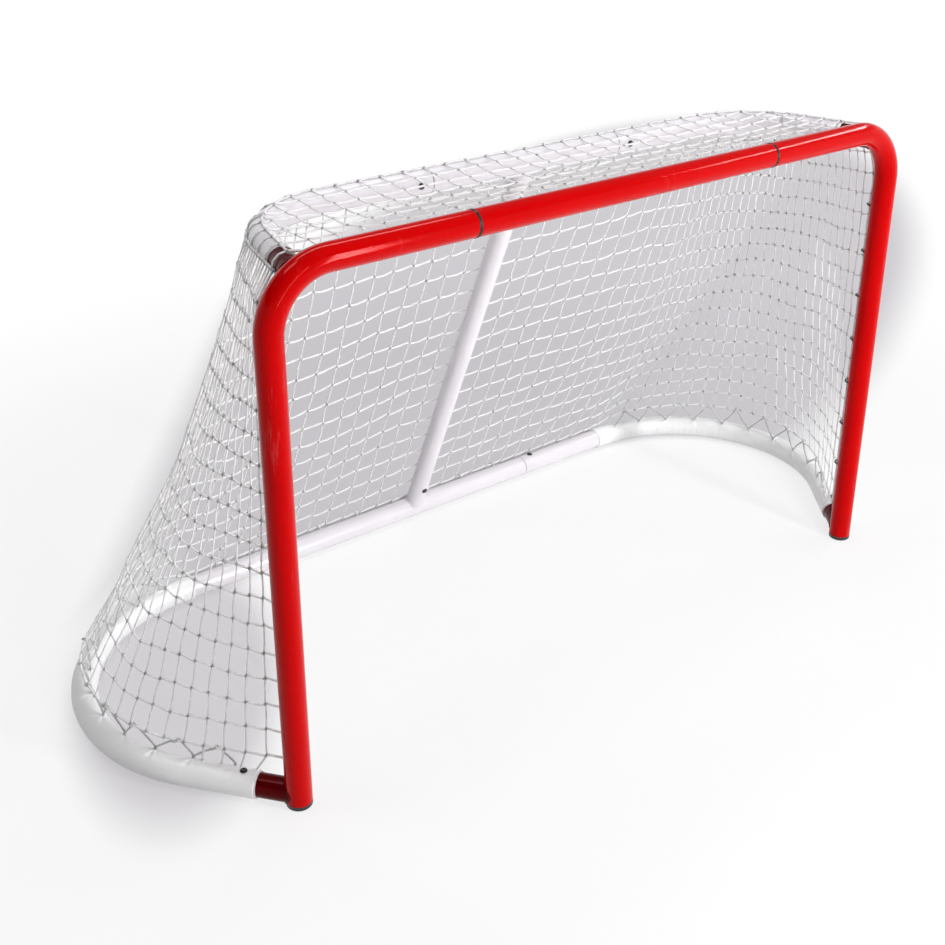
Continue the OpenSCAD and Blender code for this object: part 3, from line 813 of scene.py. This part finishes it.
def place_knot(i, j):
    t = share_of(i)
    v = j / ROWS
    v += LOW_ROWS_TALLER * v * (1 - v) * smooth((t - BACK_SHARE) / 0.25)
    spot = net_point(t, v)
    if 0 < j < ROWS and abs(i) < COLUMNS:
        spot += wander(i, j) + jitter(KNOT_SCATTER)
    return to_side(copysign(1, i), spot)


knots = {(i, j): place_knot(i, j)
         for i in range(-COLUMNS, COLUMNS + 1) for j in range(ROWS + 1)}


class Panel:
    """Cords and knots of one net panel, gathered before they are made."""

    def __init__(self):
        self.points = []
        self.edges = []

    def line(self, spots, radius, sag=STILL, bow=STILL):
        """A cord from each spot to the next."""
        for a, b in zip(spots, spots[1:]):
            self.edges.append((len(self.points), len(self.points) + 1))
            self.points += [(spot, sag, bow, radius, 0.0, UP) for spot in (a, b)]

    def knot(self, spot, outward):
        self.points.append((spot, STILL, STILL, 0.001, 1.0, outward))

    def make(self, name, seed, *nodes):
        spots, sag, bow, thickness, knot, outward = zip(*self.points)
        mesh = start_mesh(name, spots, self.edges, sag=sag, bow=bow, thickness=thickness,
                          knot=knot, outward=outward)
        grow(name, mesh, net_tree, "net_cord", *nodes, segments=6, sides=6,
             knot_size=KNOT_SIZE, seed=seed)


def column_normal(i):
    normal = net_normal(share_of(i))
    normal.x *= copysign(1, i)
    return normal


def add_row(panel, i, j):
    """The cord from column i to i + 1 in row j; it leaves each knot a step higher."""
    a = knots[i, j] - UP * KNOT_STEP
    b = knots[i + 1, j] + UP * KNOT_STEP
    border = j in (0, ROWS)
    sag = ROW_SAG * clamp((b - a).length / PITCH) * (BORDER_SAG_SHARE if border else 1)
    panel.line([a, b], BORDER_R if border else ROW_R, -UP * sag, column_normal(i) * ROW_BOW)


def add_column(panel, i, j):
    across = (knots[min(i + 1, COLUMNS), j] - knots[max(i - 1, -COLUMNS), j]).normalized()
    panel.line([knots[i, j], knots[i, j + 1]], BORDER_R if abs(i) == COLUMNS else COLUMN_R,
               bow=across * COLUMN_BOW)


def make_wall(node, columns, first, last, seed):
    """A side or back panel: its columns, and the rows from column first to last."""
    panel = Panel()
    for j in range(ROWS + 1):
        for i in range(first, last):
            add_row(panel, i, j)
    for i in columns:
        for j in range(ROWS):
            add_column(panel, i, j)
        for j in range(ROWS + 1):
            panel.knot(knots[i, j], column_normal(i))
    panel.make(node + "_cords", seed, node)


make_wall("back_net", range(-BACK_COLUMNS, BACK_COLUMNS + 1), -BACK_COLUMNS, BACK_COLUMNS, 3)
make_wall("right_net", range(BACK_COLUMNS + 1, COLUMNS + 1), BACK_COLUMNS, COLUMNS, 5)
make_wall("left_net", range(-COLUMNS, -BACK_COLUMNS), -COLUMNS, -BACK_COLUMNS, 9)


# ---------- top net ----------

TOP_ROWS = 7
TOP_PITCH = (SHELF_DEPTH - EDGE_Y) / TOP_ROWS
TOP_COLUMNS = range(-BACK_COLUMNS, BACK_COLUMNS + 1)
TOP_SCATTER = 0.0025
TOP_ROW_END = 0.018
TOP_CORD_SAG = -UP * 0.0014
TOP_ROW_BOW = Vector((0, 0.002, 0))
TOP_COLUMN_BOW = Vector((0.0025, 0, 0))
OUTLINE_STEP = 0.03
FRONT = (ROPE_OFF + ROPE_R * 0.6, BAR_Z + ROPE_R * 0.8)


def shelf_s_at_x(x):
    """Distance along the shelf tube at which its outline has this x."""
    if x <= SHELF.straight:
        return x
    a = acos(min(1.0, (x - SHELF.straight) / SHELF.radius))
    return SHELF.straight + (pi / 2 - a) * SHELF.radius


def shelf_s_at_y(y):
    if y <= SHELF.leg * cos(SHELF.flare):
        return SHELF.length - y / cos(SHELF.flare)
    a = asin((y - SHELF.centre_y) / SHELF.radius)
    return SHELF.straight + (pi / 2 - a) * SHELF.radius


def over_tube(s, turn, side):
    """A point on the shelf tube: turn is 0 on its top and 90 degrees at its outer side."""
    x, y = SHELF.point(s, SKIN_OFF * sin(turn))
    return to_row(side * x, y, SHELF_Z + SKIN_OFF * cos(turn))


def top_spot(x, y):
    """A knot of the top net at a plan place, with the sag of the panel."""
    depth = SHELF.point(shelf_s_at_x(abs(x)))[1]
    w = clamp((y - EDGE_Y) / max(0.02, depth - EDGE_Y))
    width = clamp(abs(x) / (POST_X - 0.06))
    return to_row(x, y, TOP_Z - TOP_SAG * sin(pi * w) * (1 - width ** 4))


def add_wrap(panel, s, side):
    """The cord over the shelf tube, from its top down to the border of the wall below."""
    spots = [over_tube(s, radians(turn), side) for turn in (0, 30, 60, 90)]
    panel.line(spots, COLUMN_R)
    panel.knot(spots[0], UP)
    panel.knot(spots[-1], (spots[-1] - spots[0]).normalized())


def make_top():
    panel = Panel()
    grid = {}
    outline = []
    front_row = [to_row(k * PITCH, *FRONT) for k in TOP_COLUMNS]
    for k, front in zip(TOP_COLUMNS, front_row):
        side = copysign(1, k)
        s = shelf_s_at_x(abs(k * PITCH))
        line = [front]
        for j in range(1, TOP_ROWS):
            y = EDGE_Y + j * TOP_PITCH
            if y < SHELF.point(s)[1] - TOP_ROW_END:
                grid[k, j] = top_spot(k * PITCH, y) + jitter(TOP_SCATTER)
                line.append(grid[k, j])
        end = over_tube(s, 0, side)
        panel.line(line + [end], COLUMN_R, TOP_CORD_SAG, TOP_COLUMN_BOW)
        for spot in line:
            panel.knot(spot, UP)
        add_wrap(panel, s, side)
        outline.append((side * s, end))
    for j in range(1, TOP_ROWS):
        s = shelf_s_at_y(EDGE_Y + j * TOP_PITCH)
        ends = [over_tube(s, 0, side) for side in (-1, 1)]
        inner = [grid[k, j] for k in TOP_COLUMNS if (k, j) in grid]
        panel.line([ends[0]] + inner + [ends[1]], ROW_R, TOP_CORD_SAG, TOP_ROW_BOW)
        for side, end in zip((-1, 1), ends):
            add_wrap(panel, s, side)
            outline.append((side * s, end))
    for side, corner in ((-1, front_row[0]), (1, front_row[-1])):
        last = over_tube(SHELF_L, 0, side)
        outline.append((side * SHELF_L, last))
        add_wrap(panel, SHELF_L, side)
        panel.line([corner, last], BORDER_R, TOP_CORD_SAG, UP * 0.001)
    outline.sort(key=lambda item: item[0])
    for (s0, a), (s1, b) in zip(outline, outline[1:]):
        steps = max(1, round(abs(s1 - s0) / OUTLINE_STEP))
        between = [mix(s0, s1, n / steps) for n in range(1, steps)]
        panel.line([a] + [over_tube(abs(s), 0, copysign(1, s)) for s in between] + [b], ROW_R)
    panel.line(front_row, BORDER_R, UP * 0.0005, UP * 0.0005)
    panel.make("top_net_cords", 13, "top_net")


make_top()


# ---------- ropes ----------

STRANDS = 3
STRAND_SHARE = 0.464
ROPE_PITCH = 0.026
ROPE_STEP = 0.01
WHIP_TURNS = 7
WHIP_FIRST = 0.003
WHIP_STEP = 0.0017
WHIP_R = 0.0009
TIE_R = 0.0013
TIE_REACH = ROPE_R + 0.0012
REAR_ROPE_L = BASE.straight - COVER_TAIL
REAR_ROPE = (BASE_DEPTH + ROPE_OFF * cos(LOOP_TILT), BASE_Z + ROPE_OFF * sin(LOOP_TILT))
ROPE_ENDS = {
    "left_edge_rope": [to_row(-POST_X, ROPE_OFF, z) for z in (EDGE_LOW_Z, BEND_Z)],
    "right_edge_rope": [to_row(POST_X, ROPE_OFF, z) for z in (EDGE_LOW_Z, BEND_Z)],
    "crossbar_rope": [to_row(x, ROPE_OFF, BAR_Z) for x in (-BEND_X, BEND_X)],
    "rear_base_rope": [to_row(x, *REAR_ROPE) for x in (-REAR_ROPE_L, REAR_ROPE_L)],
}


def polyline(name, spots, spread=None, closed=False):
    edges = [(n, n + 1) for n in range(len(spots) - 1)]
    if closed:
        edges.append((len(spots) - 1, 0))
    return start_mesh(name, spots, edges, spread=spread or [1.0] * len(spots))


def straight_run(a, b):
    count = round((b - a).length / ROPE_STEP)
    return [mix(a, b, n / count) for n in range(count + 1)]


def make_rope(node, spots, spread=None, radius=ROPE_R, pitch=ROPE_PITCH):
    name = node + "_lay"
    strand_r = radius * STRAND_SHARE
    grow(name, polyline(name, spots, spread), rope_tree, "rope", node, strands=STRANDS,
         lay_radius=radius - strand_r, strand_radius=strand_r, pitch=pitch, step=pitch / 10)


# The strands of the rear rope are pulled apart at two places beside its middle.
for node, (a, b) in ROPE_ENDS.items():
    opened = 1.1 if node == "rear_base_rope" else 0.0
    line = straight_run(a, b)
    make_rope(node, line, [1 + opened * bell(abs(spot.x) - 0.05, 0.03) for spot in line])


# ---------- ties of the net to its ropes, and the ropes' bound ends ----------

def make_rings(name, slot, places, ring_r, wire_r, round_it=12):
    """Small rings; each place is a point and the direction that its ring faces."""
    spots, outwards = zip(*places)
    grow(name, start_mesh(name, spots, [], outward=outwards), ring_tree, slot,
         ring_radius=ring_r, wire_radius=wire_r, round=round_it)


ties = [(to_row(copysign(POST_X, i), ROPE_OFF + 0.0005, knots[i, j].z), UP)
        for i in (-COLUMNS, COLUMNS) for j in range(ROWS + 1) if knots[i, j].z < BEND_Z]
ties += [(to_row(k * PITCH, ROPE_OFF, BAR_Z), Vector((1, 0, 0.2)))
         for k in TOP_COLUMNS if abs(k * PITCH) < BEND_X]
ties += [(to_row(knots[i, 0].x, *REAR_ROPE), Vector((1, 0.15, 0)))
         for i in range(1 - BACK_COLUMNS, BACK_COLUMNS)]
make_rings("net_ties", "net_cord", ties, TIE_REACH, TIE_R)

# Each border rope's end is bound with a few turns of thin cord.
whipping = []
for a, b in ROPE_ENDS.values():
    for end, inward in ((a, (b - a).normalized()), (b, (a - b).normalized())):
        whipping += [(end + inward * (WHIP_FIRST + WHIP_STEP * n), inward)
                     for n in range(WHIP_TURNS)]
make_rings("rope_end_whipping", "net_cord", whipping, ROPE_R + 0.0001, WHIP_R)


# ---------- base covers, their eyelets and laces ----------

COVER_START = BASE.straight - COVER_TAIL
COVER_END = BASE.length - STUB_SHOW - COVER_BACK
COVER_L = COVER_END - COVER_START
COVER_ROUND = 72
COVER_STEPS = 420
COVER_IN_STEPS = 60
COVER_RIM = 0.0004
COVER_HEM = 0.002
LACE_FIRST = BASE.straight + LACE_PITCH / 2
LACE_LAST = BASE.length - STUB_SHOW - 0.062
LACE_TURNS = round((LACE_LAST - LACE_FIRST) / LACE_PITCH)
LACE_STEP = (LACE_LAST - LACE_FIRST) / LACE_TURNS
EYELET_S = [LACE_FIRST + LACE_STEP * k for k in range(LACE_TURNS + 1)]
EYELET_R = 0.0042
EYELET_RIM_R = 0.0010
EYELET_LIFT = 0.0020
LACE_R = 0.0030
LACE_LAY = 0.018
LACE_OVER = 0.006
HOOK = 0.005
TAILS = 4


def on_cover(side, s, a, radius):
    """A point round the base tube: a is 0 on top and grows towards the outside."""
    x, y = BASE.point(s, radius * sin(a))
    return to_row(side * x, y, BASE_Z + radius * cos(a))


def cover_height(s, a, phases):
    """How far the vinyl stands off its plain round shape: slow waves on its top, folds that
    run out from each eyelet, a sewn seam, and puckers on its inner side."""
    top = 0.5 + 0.5 * cos(a)
    rise = 0.00035 * sin(47 * s + 1.7 * sin(a + 9 * s)) * top
    rise += 0.00025 * sin(23 * s - 2 * a) * top
    for s_eye, phase in zip(EYELET_S, phases):
        ds = s - s_eye
        if abs(ds) > 0.09:
            continue
        da = (a + LACE_TILT) * COVER_OUT_R
        r = hypot(ds, da)
        turn = atan2(da, ds)
        folds = 0.6 * cos(7 * turn + phase) + 0.4 * cos(4 * turn - 2 * phase)
        rise += 0.0015 * folds * bell(r, 0.030) * (1 - bell(r, 0.006))
        rise += 0.0016 * bell(r, 0.010)
    rise += 0.0007 * bell((a - radians(52)) * COVER_OUT_R, 0.0016)
    inner = bell(a + radians(95), 0.5)
    rise += 0.0005 * inner * sin(2 * pi * s / 0.021 + 1.1 * sin(31 * s))
    return max(-0.0006, rise) * smooth((cos(a) + 0.75) / 0.35)


def make_cover(side, word):
    """A tube of vinyl with an outer wall, a rounded rim at each end and an inner wall."""
    phases = [rng.uniform(0, 6.28) for _ in EYELET_S]
    wall_step = (COVER_L - 2 * COVER_HEM) / COVER_STEPS
    stations = [(COVER_START, COVER_OUT_R - COVER_RIM, 0),
                (COVER_START + COVER_RIM, COVER_OUT_R, 0)]
    stations += [(COVER_START + COVER_HEM + wall_step * n, COVER_OUT_R, 1)
                 for n in range(COVER_STEPS + 1)]
    stations += [(COVER_END - COVER_RIM, COVER_OUT_R, 0),
                 (COVER_END, COVER_OUT_R - COVER_RIM, 0)]
    stations += [(COVER_END - COVER_L * n / COVER_IN_STEPS, COVER_IN_R, 0)
                 for n in range(COVER_IN_STEPS + 1)]
    points = []
    for s, radius, wrinkled in stations:
        fade = smooth((s - COVER_START) / 0.02) * smooth((COVER_END - s) / 0.02)
        for n in range(COVER_ROUND):
            a = 2 * pi * n / COVER_ROUND - pi
            rise = cover_height(s, a, phases) * fade if wrinkled else 0
            points.append(on_cover(side, s, a, radius + rise))
    faces = []
    for m in range(len(stations)):
        here = m * COVER_ROUND
        there = (m + 1) % len(stations) * COVER_ROUND
        for n in range(COVER_ROUND):
            after = (n + 1) % COVER_ROUND
            face = (here + n, here + after, there + after, there + n)
            faces.append(face if side > 0 else (face[0], face[3], face[2], face[1]))
    mesh = bpy.data.meshes.new(word + "_cover_vinyl")
    mesh.from_pydata([tuple(p) for p in points], [], faces)
    mesh.polygons.foreach_set("use_smooth", [True] * len(mesh.polygons))
    mesh.materials.append(FINISHES["vinyl"])
    piece = put(word + "_cover_vinyl", mesh)
    settle(piece, "vinyl", word + "_base_cover")


def eyelet(s, side, lift=0.0):
    return on_cover(side, s, -LACE_TILT, COVER_OUT_R + lift)


def cover_out(s, side):
    """The direction straight off the cover at an eyelet."""
    return (eyelet(s, side, 0.01) - eyelet(s, side)).normalized()


def curve_through(spots, per_leg=6):
    """A smooth line through points."""
    ends = [spots[0]] + spots + [spots[-1]]
    line = []
    for a, b, c, d in zip(ends, ends[1:], ends[2:], ends[3:]):
        for m in range(per_leg):
            k = m / per_leg
            line.append(0.5 * (2 * b + (c - a) * k + (2 * a - 5 * b + 4 * c - d) * k ** 2
                               + (3 * b - a - 3 * c + d) * k ** 3))
    return line + [spots[-1]]


def border_spot(s, side):
    """A point of the net's lower border above a cover."""
    return to_side(side, net_point(s / BASE_L, 0))


def make_lace(side, word):
    """A cord through the eyelets, hooked over the net's border between each two of them."""
    spots = []
    for s in EYELET_S:
        spots += [eyelet(s, side, -0.004), eyelet(s, side, LACE_OVER) + jitter(0.0008)]
        if s == EYELET_S[-1]:
            break
        s_mid = s + LACE_STEP * rng.uniform(0.40, 0.60)
        hook = border_spot(s_mid, side)
        a = BASE.angle(s_mid)
        inward = Vector((-side * cos(a), -sin(a), 0))
        ahead = (border_spot(s_mid + 0.01, side) - border_spot(s_mid - 0.01, side)).normalized()
        off = cover_out(s, side) * 0.010 * rng.uniform(0.3, 1.3)
        spots += [mix(eyelet(s, side, LACE_OVER), hook, 0.5) + off + ahead * 0.006,
                  hook - inward * HOOK - ahead * 0.003,
                  hook + UP * HOOK,
                  hook + inward * HOOK + ahead * 0.003,
                  mix(hook, eyelet(s + LACE_STEP, side, LACE_OVER), 0.5) + inward * 0.004,
                  eyelet(s + LACE_STEP, side, 0.008) - ahead * 0.002]
    make_rope(word + "_lace", curve_through(spots), radius=LACE_R, pitch=LACE_LAY)


def make_tails(side, word):
    """The last columns beside the post run on past the border to the cover."""
    tails = Panel()
    for i in range(COLUMNS - TAILS, COLUMNS):
        s = min(share_of(i) * BASE_L, COVER_END - 0.008)
        tail_end = on_cover(side, s, -LACE_TILT * 1.3, COVER_OUT_R - 0.0012)
        tails.line([knots[side * i, 0], tail_end], ROW_R, bow=UP * 0.001)
    tails.make(word + "_net_tails", 21)


for side, word in SIDES:
    make_cover(side, word)
    make_lace(side, word)
    make_tails(side, word)
    make_rings(word + "_eyelets", "vinyl",
               [(eyelet(s, side, EYELET_LIFT), cover_out(s, side)) for s in EYELET_S],
               EYELET_R, EYELET_RIM_R, 16)


# ---------- welds ----------

STUB_R = TUBE_R - TUBE_WALL - 0.00025
WELD_GAP = 0.0004
WELD_ROUND = 72
BEAD_R = 0.0024
BEAD_RIPPLE = 0.0036
BEAD_STEP = 0.0012
LOOP_WELD_R = 0.0013
LOOP_FOOT = TUBE_R - 0.0026
SEAM_RING_R = 0.0015


def red_tube_distance(spot):
    """Distance from the centreline of the right post, its corner and the crossbar."""
    if spot.z < BEND_Z:
        return hypot(spot.x - POST_X, spot.y)
    if spot.x < BEND_X:
        return hypot(spot.z - BAR_Z, spot.y)
    reach = hypot(spot.x - BEND_X, spot.z - BEND_Z)
    return hypot(reach - CORNER_R, spot.y)


def rear_tube_distance(depth, z):
    return lambda spot: hypot(spot.y - depth, spot.z - z)


def weld_line(start, direction, radius, distance, side=1):
    """Where a round tube that runs from start along direction leaves another tube's wall."""
    across = direction.cross(UP if abs(direction.z) < 0.9 else ACROSS).normalized()
    over = direction.cross(across)
    spots = []
    for n in range(WELD_ROUND):
        a = 2 * pi * n / WELD_ROUND
        ring = start + across * (radius * cos(a)) + over * (radius * sin(a))
        near, away = 0.0, 0.12
        for _ in range(30):
            reach = (near + away) / 2
            if distance(ring + direction * reach) < TUBE_R + WELD_GAP:
                near = reach
            else:
                away = reach
        spots.append(to_side(side, ring + direction * away))
    return spots


def make_bead(name, slot, spots):
    grow(name, polyline(name, spots, closed=True), bead_tree, slot, radius=BEAD_R,
         ripple=BEAD_RIPPLE, step=BEAD_STEP)


# The stub welds take the darker red of the stubs, painted shade.
for side, word in SIDES:
    for path, z, level in ((BASE, BASE_Z, "_base"), (SHELF, SHELF_Z, "_shelf")):
        direction = Vector((sin(path.flare), cos(path.flare), 0))
        make_bead(word + level + "_weld", "dark_red_paint", weld_line(
            Vector((path.x, 0, z)), direction, STUB_R + WELD_GAP, red_tube_distance, side))

lean = Vector((0, -sin(POST_LEAN), cos(POST_LEAN)))
for end, depth, z, way in (("foot", BASE_DEPTH, BASE_Z, lean),
                           ("head", SHELF_DEPTH, SHELF_Z, -lean)):
    make_bead("post_" + end + "_weld", "white_paint", weld_line(
        Vector((0, depth, z)), way, POST_TUBE_R, rear_tube_distance(depth, z)))


def weld_loops(name, slot, feet, outward):
    """Small welds where each end of a wire loop stands on its tube."""
    make_rings(name, slot, [(foot, outward) for foot in feet], WIRE_R, LOOP_WELD_R)


# The loop welds are near black like the loops: painted shade.
for side, word in SIDES:
    weld_loops(word + "_loop_welds", "black_wire",
               [to_row(side * POST_X + end * LOOP_R, LOOP_FOOT, z)
                for z in POST_LOOP_Z for end in (-1, 1)], BACKWARDS)
weld_loops("bar_loop_welds", "black_wire",
           [to_row(x, LOOP_FOOT, BAR_Z + end * LOOP_R) for x in BAR_LOOP_X for end in (-1, 1)],
           BACKWARDS)
tilted = Vector((0, cos(LOOP_TILT), sin(LOOP_TILT)))
rising = Vector((0, -sin(LOOP_TILT), cos(LOOP_TILT)))
weld_loops("base_loop_welds", "white_paint",
           [to_row(x, BASE_DEPTH, BASE_Z) + tilted * LOOP_FOOT + rising * (end * LOOP_R)
            for x in BASE_LOOP_X for end in (-1, 1)], tilted)

# Three black rings close each seam of the crossbar.
for side, word in SIDES:
    seam = [(to_row(side * SEAM_X + n * SEAM_RING_R * 1.7, 0, BAR_Z), ACROSS)
            for n in (-1, 0, 1)]
    make_rings(word + "_seam_ring", "black_wire", seam, TUBE_R - SEAM_RING_R * 0.4,
               SEAM_RING_R, 72)


# ---------- floor, lamps and world ----------

FLOOR_REACH = 40.0
FLOOR_DROP = 0.0006
FLOOR_COLOR = (0.88, 0.88, 0.88, 1)
# Painted shade on the floor: its grey under the lamps, then its grey where the floor is seen
# plain.
SHADE_POOL_COLOR = (0.53, 0.515, 0.54, 1)
SHADE_POOL_FAR_COLOR = (0.63, 0.61, 0.64, 1)
INSIDE_HALF = (BASE.straight + BASE.radius, BASE_DEPTH)
SHADE_EDGE_AT = (-1.09, 0.44, 0.0)
SHADE_EDGE_OUT = (-0.797, 0.604, 0.0)
LIGHT_FROM = (0.62, -0.38, 0.68)


def bare_tree(owner):
    """The emptied node tree of a material or the world."""
    owner.use_nodes = True
    owner.node_tree.nodes.clear()
    return Tree(owner.node_tree)


def shade_pool(tree, place, centre, turn, half_length, half_width, inner, outer):
    """0 inside an ellipse of painted shade on the floor and 1 outside it, with a soft rim."""
    apart = tree.vector("SUBTRACT", place, (*centre, 0.0))
    lengthways = tree.vector("DOT_PRODUCT", apart, (
        cos(turn) / half_length, sin(turn) / half_length, 0))
    across = tree.vector("DOT_PRODUCT", apart, (
        -sin(turn) / half_width, cos(turn) / half_width, 0))
    ring = tree.vector("LENGTH", tree.combine(lengthways, across, 0.0))
    return tree.ease(ring, inner, outer)


def make_floor():
    """A pale floor: near white, with soft grey pools of painted shade behind the goal and at
    its side.
    """
    mesh = bpy.data.meshes.new("floor")
    corners = [(x * FLOOR_REACH, y * FLOOR_REACH, 0)
               for x, y in ((-1, -1), (1, -1), (1, 1), (-1, 1))]
    mesh.from_pydata(corners, [], [(0, 1, 2, 3)])
    floor = put("floor", mesh)
    floor.location.z = -FLOOR_DROP
    material = bpy.data.materials.new("pale_floor")
    tree = bare_tree(material)
    place = tree.place()
    # Painted shade: a long grey ellipse behind the goal, cut by a straight soft edge on its
    # left and kept off the floor under the goal, and a small ellipse inside the goal's left
    # side.
    shade_ellipse = shade_pool(tree, place, (2.1, 1.85), radians(29), 3.6, 1.50, 0.84, 1.01)
    past_edge = tree.vector("DOT_PRODUCT", tree.vector("SUBTRACT", place, SHADE_EDGE_AT),
                            SHADE_EDGE_OUT)
    shade_behind = tree.math("MAXIMUM", shade_ellipse, tree.ease(past_edge, -0.12, 0.08))
    shade_beside = shade_pool(tree, place, (-0.95, 0.13), radians(62), 0.58, 0.27, 0.70, 1.15)
    spot = tree.split(place)
    sideways = spot["X"] / INSIDE_HALF[0]
    back = (spot["Y"] - GOAL_Y) / INSIDE_HALF[1]
    outline = tree.math("POWER", sideways, 4.0) + tree.math("POWER", back, 4.0)
    clean = tree.math("MAXIMUM", shade_behind, 1.0 - tree.ease(outline, 0.98, 1.35))
    fade = tree.math("MINIMUM", clean, ranged(shade_beside, 0.15, 1.0))
    far = tree.ease(tree.vector("LENGTH", place), 1.2, 3.0, 0.74)
    matt = tree.add("ShaderNodeBsdfDiffuse", {
        "Color": tree.blend(fade, SHADE_POOL_COLOR, FLOOR_COLOR)})
    plain = tree.add("ShaderNodeEmission", {
        "Color": tree.blend(fade, SHADE_POOL_FAR_COLOR, WHITE), "Strength": 1.0})
    mixed = tree.add("ShaderNodeMixShader", {0: far * tree.seen(), 1: matt, 2: plain})
    tree.add("ShaderNodeOutputMaterial", {"Surface": mixed})
    mesh.materials.append(material)


def make_world():
    """A white surround behind everything; its light comes mostly from the right and above."""
    scene.world = bpy.data.worlds.new("studio")
    tree = bare_tree(scene.world)
    way = tree.add("ShaderNodeTexCoord")["Generated"]
    toward = tree.vector("DOT_PRODUCT", way, LIGHT_FROM)
    bright = ranged(tree.math("MULTIPLY", toward + 0.25, 0.9, clamped=True), 0.04, 0.33)
    wall = tree.ease(tree.split(way)["Z"], 0.44, 0.32)
    light = tree.add("ShaderNodeBackground", {
        "Color": WHITE, "Strength": tree.math("MAXIMUM", bright, tree.seen() * wall)})
    tree.add("ShaderNodeOutputWorld", {"Surface": light})


def make_lamp(name, at, target, size, power, roll=0.0):
    data = bpy.data.lights.new(name, "AREA")
    data.shape = "RECTANGLE"
    data.size, data.size_y = size
    data.energy = power
    lamp = put(name, data)
    lamp.location = at
    facing = (Vector(target) - Vector(at)).to_track_quat("-Z", "Y")
    lamp.rotation_euler = (facing @ Quaternion((0, 0, 1), roll)).to_euler()


make_floor()
make_world()
make_lamp("key", (1.2, -3.9, 1.5), (-0.1, 0, 0.6), (0.34, 2.3), 112)
make_lamp("bend_light", (-1.1, -4.2, 2.15), (-0.9, -0.45, 1.15), (2.4, 0.13), 46, radians(40))
make_lamp("bar_light", (2.9, -1.0, 2.95), (0.4, 0, 1.2), (2.2, 0.12), 34)
make_lamp("top", (0.2, 0.9, 4.2), (0, 0, 0.6), (3.0, 0.5), 48)
make_lamp("left_top", (-1.9, 0.3, 4.1), (-1.05, 0.05, 0.4), (0.9, 0.9), 26)

scene.view_settings.view_transform = "Standard"
